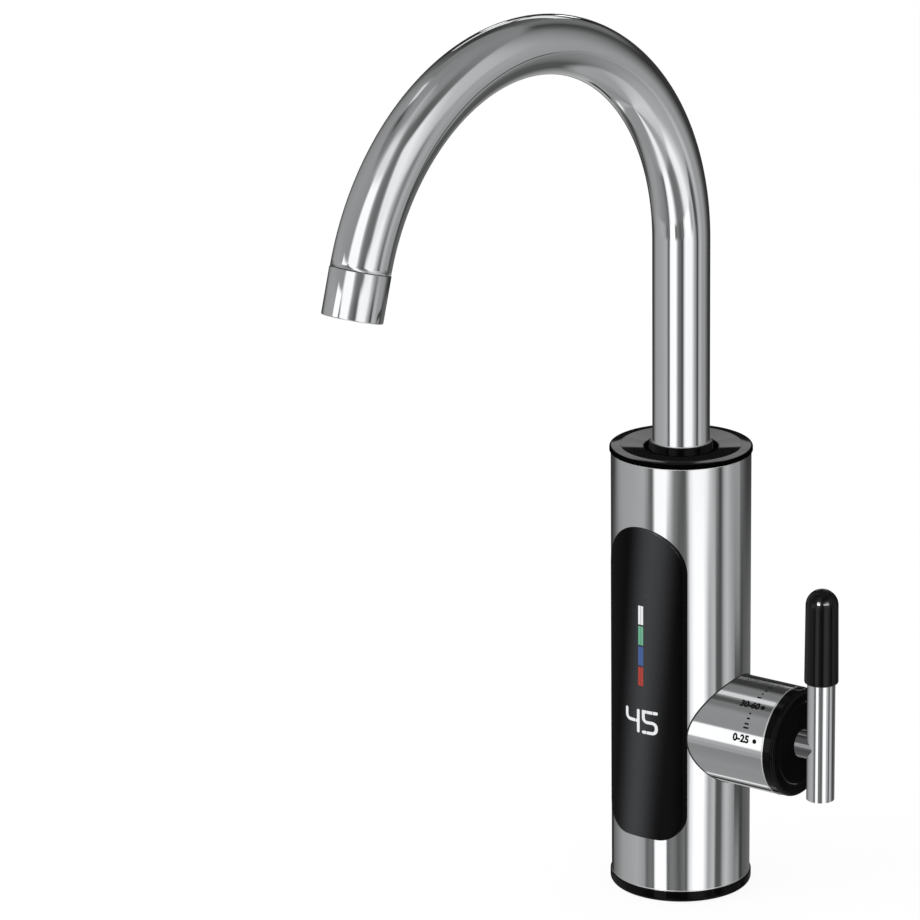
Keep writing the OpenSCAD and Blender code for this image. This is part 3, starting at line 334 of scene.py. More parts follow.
def screw_tree(material):
    """Screws on the points of a mesh; each point's "facing" says where its head looks."""
    tree = bpy.data.node_groups.new("screws_at_places", "GeometryNodeTree")
    add_sockets(tree, "INPUT", "Geometry", ["Geometry"])
    add_sockets(tree, "INPUT", "Float", head_sizes + shank_sizes + socket_sizes)
    given = put(tree, "NodeGroupInput", {}).outputs

    def moved(shape, rise):
        """A shape moved up by this much."""
        offset = put(tree, "ShaderNodeCombineXYZ", {"Z": rise}).outputs["Vector"]
        transform = {"Geometry": shape, "Translation": offset}
        return put(tree, "GeometryNodeTransform", transform).outputs["Geometry"]

    def upright(sides, sizes, middle):
        """A cylinder whose middle stands at this share of its height."""
        radius, height = (given[label] for label in sizes)
        sockets = {"Vertices": sides, "Radius": radius, "Depth": height}
        body = put(tree, "GeometryNodeMeshCylinder", sockets).outputs["Mesh"]
        return moved(body, sum_of(tree, "MULTIPLY", height, middle))

    head = upright(40, head_sizes, 0.5)
    shank = upright(24, shank_sizes, -0.5)
    tool = moved(upright(6, socket_sizes, 0), given["Head Height"])
    pair = {"Mesh 1": head, "Mesh 2": tool}
    socket = put(tree, "GeometryNodeMeshBoolean", pair, operation="DIFFERENCE")
    whole = put(tree, "GeometryNodeJoinGeometry", {"Geometry": socket.outputs["Mesh"]})
    give(tree, whole, {"Geometry": shank})
    facing = put(
        tree, "GeometryNodeInputNamedAttribute", {"Name": "facing"}, data_type="FLOAT_VECTOR"
    ).outputs["Attribute"]
    aim = put(tree, "FunctionNodeAlignEulerToVector", {"Vector": facing}, axis="Z")
    copies = put(tree, "GeometryNodeInstanceOnPoints", {
        "Points": given["Geometry"],
        "Instance": whole.outputs["Geometry"],
        "Rotation": aim.outputs["Rotation"],
    })
    return ended(tree, copies.outputs["Instances"], material)


def new_object(name, data):
    """A new object at the origin, linked to the scene."""
    made = bpy.data.objects.new(name, data)
    bpy.context.scene.collection.objects.link(made)
    return made


def plain_mesh(source):
    """An object's evaluated shape as a plain mesh; the object itself is removed."""
    scene_now = bpy.context.evaluated_depsgraph_get()
    mesh = bpy.data.meshes.new_from_object(source.evaluated_get(scene_now))
    bpy.data.objects.remove(source)
    return mesh


def grown(name, base, tree, values):
    """Runs a geometry tree on a base mesh and keeps the result as a plain mesh object."""
    start = new_object(name + "_base", base)
    modifier = start.modifiers.new("tree", "NODES")
    modifier.node_group = tree
    for item in tree.interface.items_tree:
        if item.in_out == "INPUT" and item.name in values:
            modifier[item.identifier] = values[item.name]
    mesh = plain_mesh(start)
    mesh.name = name
    return new_object(name, mesh)


screws_tree = screw_tree(zinc.material)


def screws(name, places, head, shank, socket_size, body="body"):
    """Replaces a CAD node of screws; places are points in mm, each with its facing."""
    base = bpy.data.meshes.new(name + "_places")
    base.from_pydata([Vector(point) * mm for point, _ in places], [], [])
    facing = base.attributes.new("facing", "FLOAT_VECTOR", "POINT")
    facing.data.foreach_set("vector", [value for _, way in places for value in way])
    labels = head_sizes + shank_sizes + socket_sizes
    sizes = (*head, *shank, socket_size[0], socket_size[1] * 2)
    values = {label: size * mm for label, size in zip(labels, sizes)}
    made = grown("hex_" + name, base, screws_tree, values)
    made.data.shade_smooth()
    made.data.set_sharp_from_angle(angle=math.radians(35))
    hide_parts(name)
    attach(made, body)


def middle_of(name):
    """The centre of a CAD node's box, in mm."""
    low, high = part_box(name)
    return (low + high) / 2 / mm


shell_low, shell_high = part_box("shell")
shell_radius = shell_high.x / mm
small_head, small_socket, small_shank = (1.5, 1.5), (0.85, 0.8), 1.45
grub_height = middle_of("shell_screws").z
grub_sunk = 0.15
grub_seat = shell_radius - grub_sunk - small_head[1]
grub_places = []
for turn in (60, 120):
    way = Vector((math.cos(math.radians(turn)), math.sin(math.radians(turn)), 0))
    grub_places.append((way * grub_seat + Vector((0, 0, grub_height)), way))
screws("shell_screws", grub_places, small_head, (small_shank, 1.9), small_socket)
inlet_head = (3, 2)
inlet_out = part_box("inlet_screws")[1].y / mm - inlet_head[0]
inlet_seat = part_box("inlet_screws")[1].z / mm - inlet_head[1]
inlet_places = [((0, s * inlet_out, inlet_seat), (0, 0, 1)) for s in (-1, 1)]
screws("inlet_screws", inlet_places, inlet_head, (1.5, 6.5), (1.4, 1.1))
socket_head = (2.8, 2)
socket_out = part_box("socket_screws")[1].x / mm - socket_head[0]
socket_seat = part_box("socket_screws")[1].z / mm - socket_head[1]
socket_places = [((s * socket_out, 0, socket_seat), (0, 0, 1)) for s in (-1, 1)]
screws("socket_screws", socket_places, socket_head, (1.5, 7.5), (1.3, 1.1))
lever_head = (1.5, 1.2)
lever_low, lever_high = (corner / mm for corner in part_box("lever_screw"))
lever_length = lever_high.y - lever_low.y
lever_middle = middle_of("lever_screw")
lever_seat = (lever_middle.x, lever_high.y - lever_head[1], lever_middle.z)
lever_shank = (small_shank, lever_length - lever_head[1])
screws("lever_screw", [(lever_seat, (0, 1, 0))], lever_head, lever_shank, small_socket, "lever")


# The shell. A tube of stainless steel, brushed round its girth with a fine belt. Its two
# cut ends are rolled over a little, so each shows as a thin bright line.
brushed_steel = lined_metal("brushed_steel", (0.76, 0.77, 0.78), 0.05, 0.09, (25, 25, 5200), 0.12)
dress(brushed_steel, "shell")


def skin_rows(built, rows):
    """Four-sided faces from each closed row of a mesh's points to the next."""
    for near, far in zip(rows, rows[1:]):
        for i in range(len(near)):
            j = (i + 1) % len(near)
            built.faces.new((near[i], near[j], far[j], far[i]))


def turned(name, rings, material, sides=160, place=None):
    """Closed outlines of (radius, height) in mm, spun once round an axis into one mesh."""
    built = bmesh.new()
    for outline in rings:
        turns = []
        for side in range(sides):
            angle = 2 * math.pi * side / sides
            turns.append([
                built.verts.new((r * math.cos(angle) * mm, r * math.sin(angle) * mm, h * mm))
                for r, h in outline
            ])
        skin_rows(built, turns + turns[:1])
    return as_piece(name, built, material, place)


def as_piece(name, built, material, place=None, merge=1e-7):
    """A finished mesh as an object at the origin, with soft shading and its hard edges kept."""
    bmesh.ops.remove_doubles(built, verts=built.verts, dist=merge)
    bmesh.ops.recalc_face_normals(built, faces=built.faces)
    mesh = bpy.data.meshes.new(name)
    built.to_mesh(mesh)
    built.free()
    if place is not None:
        mesh.transform(place)
    mesh.materials.append(material)
    mesh.shade_smooth()
    mesh.set_sharp_from_angle(angle=math.radians(40))
    return new_object(name, mesh)


def arc(centre, radius, start, end, steps):
    """Points on part of a circle, from one angle to another, in degrees."""
    angles = [math.radians(start + (end - start) * i / steps) for i in range(steps + 1)]
    return [(centre[0] + radius * math.cos(a), centre[1] + radius * math.sin(a)) for a in angles]


def full_round(centre, radius, sides=16):
    """A closed ring of points."""
    return arc(centre, radius, 0, 360, sides)[:-1]


lip = 0.3
lip_proud = 0.05
lip_out = shell_radius + lip_proud - lip
shell_bottom, shell_top = shell_low.z / mm, shell_high.z / mm
lip_rings = [full_round((lip_out, h), lip) for h in (shell_bottom + lip, shell_top - lip)]
lip_steel = lined_metal("lip_steel", (0.88, 0.89, 0.90), 0.30, 0.38, (900, 900, 900), 0.05)
shell_lips = turned("shell_lips", lip_rings, lip_steel.material)
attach(shell_lips, "body")


# The flow switch's return spring. Round stainless wire wound in six turns between the
# piston's magnet and the end of the valve's port; it shortens by as much as the piston lifts.
spring_low, spring_high = (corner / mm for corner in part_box("flow_spring"))
wire_radius = 0.5
wire_sides = 10
turn_steps = 32
spring_radius = spring_high.x - wire_radius
spring_turns = 6
spring_steps = spring_turns * turn_steps
spring_rise = spring_high.z - spring_low.z - 2 * wire_radius
coil = bmesh.new()
wire_rings = []
for step in range(spring_steps + 1):
    turn = 2 * math.pi * step / turn_steps
    height = spring_low.z + wire_radius + spring_rise * step / spring_steps
    wire_rings.append([
        coil.verts.new((math.cos(turn) * out * mm, math.sin(turn) * out * mm, up * mm))
        for out, up in full_round((spring_radius, height), wire_radius, wire_sides)
    ])
skin_rows(coil, wire_rings)
coil.faces.new(wire_rings[0])
coil.faces.new(wire_rings[-1])
return_spring = as_piece("return_spring", coil, zinc.material)
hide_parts("flow_spring")
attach(return_spring, "body")
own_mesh(return_spring)


# The display panel. Smoked black plastic bent round the shell, with softly rounded edges
# and a plug that passes through the shell's window; the lit pieces show flush in its face.
panel_low, panel_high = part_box("display_panel")
panel_bottom, panel_top = panel_low.z / mm, panel_high.z / mm
panel_half = 19.8
panel_corner = 12
panel_plug = 4
face_radius = 38.8
face_set = face_radius + panel_low.y / mm
lip_radius = shell_radius + 0.06
plug_radius = 28.4


def panel_outline(inset):
    """The panel's edge moved inwards, as (distance round the shell, height) in mm."""
    half = panel_half - inset
    corner = panel_corner - inset
    top = arc((0, panel_top - panel_half), half, 0, 180, 72)
    foot_height = panel_bottom + panel_corner
    side = panel_half - panel_corner
    left = arc((-side, foot_height), corner, 180, 270, 24)
    right = arc((side, foot_height), corner, 270, 360, 24)

    def straight(start, end, count):
        steps = [i / (count + 1) for i in range(1, count + 1)]
        return [tuple(a + (b - a) * t for a, b in zip(start, end)) for t in steps]

    edge = top + straight(top[-1], left[0], 40) + left
    edge += straight(left[-1], right[0], 10) + right
    return edge + straight(right[-1], top[0], 40)


def on_cylinder(point, radius, behind=0):
    """Bends (distance round, height) on to a cylinder whose axis stands this far behind Z."""
    across = face_radius * math.sin(point[0] / face_radius)
    return Vector((across, behind - math.sqrt(radius * radius - across * across), point[1])) * mm


def panel_ring(inset, radius, behind=0):
    return [on_cylinder(point, radius, behind) for point in panel_outline(inset)]


def spine_ring(share, inset, radius, behind=0):
    """The outline drawn in towards the upright line down the panel's middle."""
    high, low = panel_top - panel_half - 2, panel_bottom + panel_half + 2
    found = []
    for across, height in panel_outline(inset):
        anchor = min(max(height, low), high)
        drawn_in = (across * share, anchor + (height - anchor) * share)
        found.append(on_cylinder(drawn_in, radius, behind))
    return found


edge_round = 0.62
face_rings = [panel_ring(0, lip_radius)]
for x, y in arc((0, 0), edge_round, 0, 90, 6):
    face_rings.append(panel_ring(edge_round - x, face_radius - edge_round + y, face_set))
for share in (0.9, 0.75, 0.6, 0.45, 0.3, 0.15, 0.0):
    face_rings.append(spine_ring(share, edge_round, face_radius, face_set))
back_rings = [panel_ring(panel_plug, lip_radius), panel_ring(panel_plug, plug_radius)]
back_rings += [spine_ring(share, panel_plug, plug_radius) for share in (0.75, 0.5, 0.25, 0.0)]
built = bmesh.new()
skin_rows(built, [[built.verts.new(p) for p in ring] for ring in face_rings[::-1] + back_rings])
smoked = Finish("smoked_panel", (0.0016, 0.0016, 0.0018))
smoked.give({"Specular IOR Level": 0.05})
smoked.wear(70, 0.20, 0.28)
smoked.grain(700, 0.3, 0.002)
# Painted highlight: a soft, slightly leaning band of lighter colour down the panel's middle.
painted_highlight_lean = math.radians(-4.1)
painted_highlight_shift = 5.6 * mm
painted_highlight_half = 13 * mm
painted_highlight_place = smoked.put("ShaderNodeMapping", {
    "Vector": smoked.place(),
    "Rotation": (0, painted_highlight_lean, 0),
    "Location": (painted_highlight_shift, 0, 0),
})
split = smoked.put("ShaderNodeSeparateXYZ", {"Vector": painted_highlight_place.outputs["Vector"]})
off_middle = sum_of(smoked.tree, "ABSOLUTE", split.outputs["X"])
painted_highlight = ramp(smoked.tree, off_middle, 0, painted_highlight_half, 1, 0, "SMOOTHSTEP")
smoked.tint(painted_highlight, (0.0012, 0.0012, 0.0014), (0.046, 0.047, 0.050))
panel_cover = as_piece("panel_cover", built, smoked.material, merge=1e-6)
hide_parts("display_panel")
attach(panel_cover, "body")


# The lit digits and the level bar. Light guides of clear plastic, each a piece of its own
# set flush in the panel and lit from behind; their glow is a little uneven.
def light_guide(name, colour):
    finish = Finish(name, [0.15 * c for c in colour])
    finish.tint(finish.wear(140, 0.2, 0.35), [0.86 * c for c in colour], colour, "Emission Color")
    finish.give({"Emission Strength": 1})
    return finish


dress(light_guide("lens_white", (0.76, 0.77, 0.78)), "digit_lens", "bar_lens_white")
dress(light_guide("lens_green", (0.13, 0.38, 0.24)), "bar_lens_green")
dress(light_guide("lens_blue", (0.046, 0.10, 0.29)), "bar_lens_blue")
dress(light_guide("lens_red", (0.37, 0.035, 0.024)), "bar_lens_red")


# The valve's sleeve. The same brushed steel tube as the shell, cut to sit on it, with its
# brushing round its own girth and a thin rolled rim where the end cap starts.
valve_axis = middle_of("valve_sleeve").z
sleeve_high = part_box("valve_sleeve")[1]
sleeve_end, sleeve_radius = sleeve_high.x / mm, sleeve_high.y / mm
valve_centre = (0, 0, valve_axis * mm)
along_valve = Matrix.Translation(valve_centre) @ Matrix.Rotation(math.pi / 2, 4, "Y")
sleeve_steel = lined_metal(
    "sleeve_steel", (0.76, 0.77, 0.78), 0.05, 0.10, (4200, 25, 25), 0.12, centre=valve_centre
)
dress(sleeve_steel, "valve_sleeve")
rim = 0.6
rim_past_end = 0.1
rim_middle = (sleeve_radius + lip_proud - rim, sleeve_end + rim_past_end - rim)
rim_ring = full_round(rim_middle, rim)
sleeve_rim = turned("sleeve_rim", [rim_ring], lip_steel.material, place=along_valve)
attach(sleeve_rim, "body")


# The saddle's gasket. A thin cord of black rubber in the joint between sleeve and shell; it
# follows the line in which the two tubes meet.
gasket_round = 0.42
gasket_sides = 10
gasket_steps = 144
gasket_on_shell = shell_radius + 0.12
gasket_on_sleeve = sleeve_radius - 0.1
built = bmesh.new()
turns = []
for step in range(gasket_steps):
    angle = 2 * math.pi * step / gasket_steps
    across, up = gasket_on_sleeve * math.cos(angle), gasket_on_sleeve * math.sin(angle)
    centre = Vector((math.sqrt(gasket_on_shell ** 2 - across ** 2), across, valve_axis + up))
    outward = Vector((0, across, up)).normalized()
    slope = across / centre.x * math.sin(angle)
    along = Vector((slope, -math.sin(angle), math.cos(angle))).normalized()
    side = along.cross(outward).normalized()
    turns.append([
        built.verts.new((centre + outward * x + side * y) * mm)
        for x, y in full_round((0, 0), gasket_round, gasket_sides)
    ])
skin_rows(built, turns + turns[:1])
saddle_gasket = as_piece("saddle_gasket", built, rubber.material)
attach(saddle_gasket, "body")


# The marks on the sleeve. Black ink, padded on: a dot and a range of plain numbers for
# each end of the lever's turn, and a row of strokes that grow longer beside each.
ink = moulded("printed_ink", (0.003, 0.003, 0.003), (0.006, 0.006, 0.006), 0.35, 0.5, 0.004, 1500)
ink.give({"Specular IOR Level": 0.08})
ink_low, ink_high = sleeve_radius - 0.01, sleeve_radius + 0.03
per_degree = sleeve_radius * math.pi / 180
figure_share = 0.7


def on_sleeve(along, turn, radius):
    """A point on the sleeve: mm from the body's axis, and degrees from the top to the front."""
    angle = math.radians(turn)
    across, up = -radius * math.sin(angle), radius * math.cos(angle)
    return Vector((along, across, valve_axis + up)) * mm


def printed_patch(built, along, turn, outline):
    """A closed flake of ink with an outline of points, in mm from this place."""
    points = [(along + x, turn + y / per_degree) for x, y in outline]
    inner = [built.verts.new(on_sleeve(a, t, ink_low)) for a, t in points]
    outer = [built.verts.new(on_sleeve(a, t, ink_high)) for a, t in points]
    built.faces.new(outer)
    built.faces.new(inner[::-1])
    skin_rows(built, [inner, outer])


def printed_number(built, text, along, turn, height):
    """A number in plain type whose middle is at this place, reading along the sleeve."""
    curve = bpy.data.curves.new("number_" + text, "FONT")
    curve.body = text
    curve.size = height / figure_share
    curve.align_x = "CENTER"
    curve.align_y = "CENTER"
    curve.resolution_u = 3
    curve.extrude = 0.5
    curve.offset = 0.21
    letters = plain_mesh(new_object("number_" + text, curve))
    for point in letters.vertices:
        radius = ink_high if point.co.z > 0 else ink_low
        point.co = on_sleeve(along + point.co.x, turn - point.co.y / per_degree, radius)
    built.from_mesh(letters)


strokes = [
    (47.2, 48.4, 0.9), (47.2, 54.0, 1.5), (47.2, 59.9, 2.1), (47.3, 64.0, 2.6),
    (47.5, 27.9, 2.0), (47.8, 22.0, 0.9), (48.1, 16.4, 1.5), (48.4, 9.3, 2.0),
]
thick = 0.38
dot_radius = 1.0
built = bmesh.new()
for along, turn, length in strokes:
    half = length / 2
    corners = [(-half, -thick), (half, -thick), (half, thick), (-half, thick)]
    printed_patch(built, along, turn, corners)
for along, turn in ((52.7, 76.0), (51.8, 39.2)):
    printed_patch(built, along, turn, full_round((0, 0), dot_radius, 24))
printed_number(built, "0-25", 45.9, 76.0, 3.1)
printed_number(built, "30-60", 45.3, 39.2, 2.9)
sleeve_marks = as_piece("sleeve_marks", built, ink.material)
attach(sleeve_marks, "body")


# The valve's end cap and the top cap. Both are moulded in black gloss plastic and pushed in.
# The top cap is a shallow dish inside a low crest; its outer edge and the ring round the
# collar are never polished, so they are dull.
end_black = moulded("end_black", gloss_dark, gloss_light, 0.03, 0.07, 0.0010)
end_black.give({"Specular IOR Level": 0.12})
dress(end_black, "valve_end_cap")
cap_black = Finish("cap_black", (0.0014, 0.0014, 0.0016))
cap_black.wear(70, 0.03, 0.07)
from_axis = cap_black.put(
    "ShaderNodeVectorMath", {0: cap_black.place((1, 1, 0))}, operation="LENGTH"
).outputs["Value"]
edge_from, edge_to = 29.5 * mm, 29.9 * mm
hub_from, hub_to = 16 * mm, 17 * mm
inside_edge = ramp(cap_black.tree, from_axis, edge_from, edge_to, 0.35, 0)
outside_collar = ramp(cap_black.tree, from_axis, hub_from, hub_to)
polished = sum_of(cap_black.tree, "MULTIPLY", inside_edge, outside_collar)
cap_black.give({"Specular IOR Level": polished})
cap_base, cap_crown = (corner.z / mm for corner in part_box("top_cap"))
cap_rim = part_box("top_cap")[1].x / mm
cap_hole, hole_rim = 13.7, 0.6
plate_under = 194.5
spigot_inside, spigot_outside = 26.55, 29.05
rim_fillet = 0.8
crest_radius = 26
crest_fall = 0.058
dish_fall = 0.085
dish_start = 14.9
soft = 0.2
brow = cap_crown - (cap_rim - rim_fillet - crest_radius) * crest_fall - rim_fillet
dish_foot = cap_crown - (crest_radius - dish_start) * dish_fall
cap_outline = [
    (cap_hole, plate_under),
    (spigot_inside, plate_under),
    (spigot_inside, cap_base),
    (spigot_outside, cap_base),
    (spigot_outside, shell_top),
    (cap_rim, shell_top),
    *arc((cap_rim - rim_fillet, brow), rim_fillet, 0, 86, 8),
    (crest_radius + soft, cap_crown - soft * crest_fall),
    (crest_radius, cap_crown),
    (crest_radius - soft, cap_crown - soft * dish_fall),
    (dish_start + soft, dish_foot + soft * dish_fall),
    (dish_start, dish_foot),
    (cap_hole, dish_foot - hole_rim),
]
cap_cover = turned("cap_cover", [cap_outline], cap_black.material)
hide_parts("top_cap")
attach(cap_cover, "body")


# The lever. A turned and polished steel neck and rod, with a grip of black satin plastic
# pushed on the rod's upper pin.
rod_steel = lined_metal("rod_steel", (0.78, 0.79, 0.80), 0.05, 0.10, (900, 900, 30), 0.08)
dress(rod_steel, "lever_rod")
# Painted reflection: the neck's steel is coloured dark for the black end cap it would mirror.
neck_steel_painted_dark = lined_metal("neck_steel_painted_dark", (0.22, 0.22, 0.23), 0.05, 0.10, (30, 900, 900), 0.08)
dress(neck_steel_painted_dark, "lever_neck")
satin_dark, satin_light = (0.0014, 0.0014, 0.0016), (0.0022, 0.0022, 0.0025)
satin_black = moulded("satin_black", satin_dark, satin_light, 0.10, 0.15, 0.002, 1100)
satin_black.give({"Specular IOR Level": 0.25})
dress(satin_black, "lever_grip")


# The spout. A steel tube, bent once and polished along its length, so its marks follow it.
# The tree draws the straight rise and the bend as one line and runs a circle along it.
tube_steel = Finish("tube_steel", (0.78, 0.79, 0.80), 1.0)
run = tube_steel.put("ShaderNodeAttribute", {}, attribute_name="run").outputs["Vector"]
stretch = tube_steel.put("ShaderNodeMapping", {"Vector": run, "Scale": (1400, 1400, 12)})
tube_lines = tube_steel.effect(lines_group, stretch.outputs["Vector"], Low=0.035, High=0.065)
tube_steel.give({"Roughness": tube_lines["Roughness"]})
tube_marks = tube_steel.effect(marks_group, run, Scale=30)
tube_steel.tint(tube_marks["Mask"], (0.73, 0.74, 0.75), (0.79, 0.80, 0.81))
tube_steel.bump(tube_lines["Height"], 0.05, 0.002)


def bent_tube_tree(material):
    """A tube that rises, then bends; each point keeps its place on the straight tube."""
    tree = bpy.data.node_groups.new("bent_tube", "GeometryNodeTree")
    add_sockets(tree, "INPUT", "Float", ("Rise", "Bend Radius", "Bend Angle", "Tube Radius"))
    add_sockets(tree, "INPUT", "Int", ("Rings", "Sides"))
    given = put(tree, "NodeGroupInput", {}).outputs

    def kept(shape, kind, label, value):
        """Holds a value on each point of a shape: the shape, and the value as it is there."""
        holder = put(tree, "GeometryNodeCaptureAttribute", {}, domain="POINT")
        holder.capture_items.new(kind, label)
        give(tree, holder, {"Geometry": shape, label: value})
        return holder.outputs["Geometry"], holder.outputs[label]

    rise, radius = given["Rise"], given["Bend Radius"]
    bend_length = sum_of(tree, "MULTIPLY", radius, given["Bend Angle"])
    length = sum_of(tree, "ADD", rise, bend_length)
    last = sum_of(tree, "SUBTRACT", given["Rings"], 1)
    index = put(tree, "GeometryNodeInputIndex", {}).outputs["Index"]
    gone = sum_of(tree, "MULTIPLY", length, sum_of(tree, "DIVIDE", index, last))
    gone_round = sum_of(tree, "MAXIMUM", sum_of(tree, "SUBTRACT", gone, rise), 0)
    turn = sum_of(tree, "DIVIDE", gone_round, radius)
    away = sum_of(tree, "SUBTRACT", 1, sum_of(tree, "COSINE", turn))
    over = sum_of(tree, "MULTIPLY", radius, sum_of(tree, "SINE", turn))
    point = put(tree, "ShaderNodeCombineXYZ", {
        "X": sum_of(tree, "MULTIPLY", radius, away),
        "Z": sum_of(tree, "ADD", sum_of(tree, "MINIMUM", gone, rise), over),
    })
    line = put(tree, "GeometryNodeMeshLine", {"Count": given["Rings"]})
    bent = put(tree, "GeometryNodeSetPosition", {
        "Geometry": line.outputs["Mesh"],
        "Position": point.outputs["Vector"],
    })
    path = put(tree, "GeometryNodeMeshToCurve", {"Mesh": bent.outputs["Geometry"]})
    circle = put(tree, "GeometryNodeCurvePrimitiveCircle", {
        "Resolution": given["Sides"],
        "Radius": given["Tube Radius"],
    })
    where = put(tree, "GeometryNodeInputPosition", {}).outputs["Position"]
    path_curve, path_gone = kept(path.outputs["Curve"], "FLOAT", "Gone", gone)
    profile_curve, profile_place = kept(circle.outputs["Curve"], "VECTOR", "Round", where)
    sweep = put(tree, "GeometryNodeCurveToMesh", {"Curve": path_curve, "Profile Curve": profile_curve})
    split = put(tree, "ShaderNodeSeparateXYZ", {"Vector": profile_place})
    straight_place = put(tree, "ShaderNodeCombineXYZ", {
        "X": split.outputs["X"],
        "Y": split.outputs["Y"],
        "Z": path_gone,
    })
    store = put(tree, "GeometryNodeStoreNamedAttribute", {
        "Geometry": sweep.outputs["Mesh"],
        "Name": "run",
        "Value": straight_place.outputs["Vector"],
    }, data_type="FLOAT_VECTOR")
    return ended(tree, store.outputs["Geometry"], material)


tube_low, tube_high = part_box("spout_tube")
tube_radius = 12.25
tube_wall = 1.2
bend_radius = 100
bend_angle = math.radians(164)
rest_turn = math.radians(-96.2)
bend_start = tube_high.z / mm - bend_radius - tube_radius
tube_values = {
    "Rise": (bend_start - tube_low.z / mm) * mm,
    "Bend Radius": bend_radius * mm,
    "Bend Angle": bend_angle,
    "Tube Radius": tube_radius * mm,
    "Rings": 190,
    "Sides": 96,
}
tube_start = bpy.data.meshes.new("tube_start")
tube = grown("bent_spout_tube", tube_start, bent_tube_tree(tube_steel.material), tube_values)
tube.data.transform(Matrix.Rotation(rest_turn, 4, "Z") @ Matrix.Translation((0, 0, tube_low.z)))
wall = tube.modifiers.new("wall", "SOLIDIFY")
wall.thickness = tube_wall * mm
wall.offset = -1
tube.data.shade_smooth()
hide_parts("spout_tube")
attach(tube, "spout")


# The lip at the tube's lower end, rolled over where it leaves the collar.
tube_lip_radius = 0.2
lip_above = 0.15
lip_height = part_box("spout_collar")[1].z / mm + lip_above
tube_lip_ring = full_round((tube_radius - lip_proud, lip_height), tube_lip_radius)
tube_lip = turned("tube_lip", [tube_lip_ring], lip_steel.material)
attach(tube_lip, "spout")


# The aerator's sleeve. Turned from the same steel as the tube, plugged into its end; a
# dark joint shows between them, and the mouth has a small rounded edge.
outlet_along = bend_radius * (1 - math.cos(bend_angle)) * mm
outlet_up = (bend_start + bend_radius * math.sin(bend_angle)) * mm
to_outlet = (
    Matrix.Rotation(rest_turn, 4, "Z")
    @ Matrix.Translation((outlet_along, 0, outlet_up))
    @ Matrix.Rotation(bend_angle, 4, "Y")
)
outlet_radius = tube_radius + 0.2
outlet_bore = outlet_radius - 2.2
outlet_length = 19.5
plug_end = 3
plug_out = tube_radius - 2
top_round, mouth_round, bore_round = 0.25, 0.5, 0.4
outlet_outline = [
    (plug_out, plug_end),
    (plug_out, top_round),
    (outlet_radius - top_round, top_round),
    *arc((outlet_radius - top_round, 2 * top_round), top_round, -90, 0, 4),
    *arc((outlet_radius - mouth_round, outlet_length - mouth_round), mouth_round, 0, 90, 6),
    *arc((outlet_bore + bore_round, outlet_length - bore_round), bore_round, 90, 180, 4),
    (outlet_bore, plug_end),
]
outlet_sleeve = turned("outlet_sleeve", [outlet_outline], tube_steel.material, place=to_outlet)
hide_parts("aerator_housing")
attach(outlet_sleeve, "spout")
joint_in, joint_out = tube_radius - 1.5, tube_radius - 0.12
joint_low, joint_high = -0.1, 0.35
joint_outline = [
    (joint_in, joint_low),
    (joint_out, joint_low),
    (joint_out, joint_high),
    (joint_in, joint_high),
]
outlet_joint = turned("outlet_joint", [joint_outline], rubber.material, place=to_outlet)
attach(outlet_joint, "spout")


# The floor. A plain white sheet that goes on past the picture; the object's soft shadow
# falls on it. It hides from reflections, where the studio below takes its place.
floor_half = 6.0
floor_sunk = 0.0002
floor_mesh = bpy.data.meshes.new("floor")
floor_signs = ((-1, -1), (1, -1), (1, 1), (-1, 1))
floor_corners = [(x * floor_half, y * floor_half, -floor_sunk) for x, y in floor_signs]
floor_mesh.from_pydata(floor_corners, [], [(0, 1, 2, 3)])
floor = new_object("floor", floor_mesh)
floor_paint = bpy.data.materials.new("floor_white")
floor_paint.use_nodes = True
paint = floor_paint.node_tree
paint.nodes.remove(paint.nodes["Principled BSDF"])
rays = put(paint, "ShaderNodeLightPath", {})
matt = put(paint, "ShaderNodeBsdfDiffuse", {"Color": (0.9, 0.9, 0.9, 1)})
white = (1, 1, 1, 1)
glow = put(paint, "ShaderNodeEmission", {"Color": white, "Strength": 1.02})
seen = put(paint, "ShaderNodeMixShader", {
    "Fac": sum_of(paint, "MULTIPLY", rays.outputs["Is Camera Ray"], 0.9),
    1: matt.outputs["BSDF"],
    2: glow.outputs["Emission"],
})
give(paint, paint.nodes["Material Output"], {"Surface": seen.outputs["Shader"]})
floor_mesh.materials.append(floor_paint)
floor.visible_glossy = False
floor.visible_transmission = False


# The camera. It stands about two metres away, to the front and right, and looks down at
# the tap through a long lens, as the photograph's did.
camera_data = bpy.data.cameras.new("camera")
camera_data.sensor_width = 36
camera_data.lens = 208.49
camera = new_object("camera", camera_data)
camera_place = (1.20506, -1.80281, 0.86922)
camera_right = Vector((0.808506, 0.588377, -0.011425))
camera_up = Vector((-0.166785, 0.247714, 0.954369))
camera_back = Vector((0.564359, -0.769707, 0.298411))
facing = Matrix((camera_right, camera_up, camera_back)).transposed().to_4x4()
camera.matrix_world = Matrix.Translation(camera_place) @ facing
bpy.context.scene.camera = camera


# The studio. White for the camera, even light for matt surfaces, and for the metal a
# white room with tall soft boxes and dark flags between them, set by their azimuths.
scene = bpy.context.scene
scene.view_settings.view_transform = "Standard"
studio = bpy.data.worlds.new("studio")
scene.world = studio
studio.use_nodes = True
studio.cycles.sampling_method = "NONE"
room = studio.node_tree
direction = put(room, "ShaderNodeTexCoord", {}).outputs["Generated"]
parts = put(room, "ShaderNodeSeparateXYZ", {"Vector": direction}).outputs


def wall_of_light(name, stops):
    """Grey levels round the room; 0 degrees is behind the camera, + to the picture's right."""
    greys = put(room, "ShaderNodeValToRGB", {"Fac": round_room}, label=name)
    elements = greys.color_ramp.elements
    elements.remove(elements[-1])
    for i, (azimuth, level) in enumerate(stops):
        where = (azimuth + 180) / 360
        element = elements[0] if i == 0 else elements.new(where)
        element.position = where
        element.color = (level, level, level, 1)
    return greys.outputs["Color"]


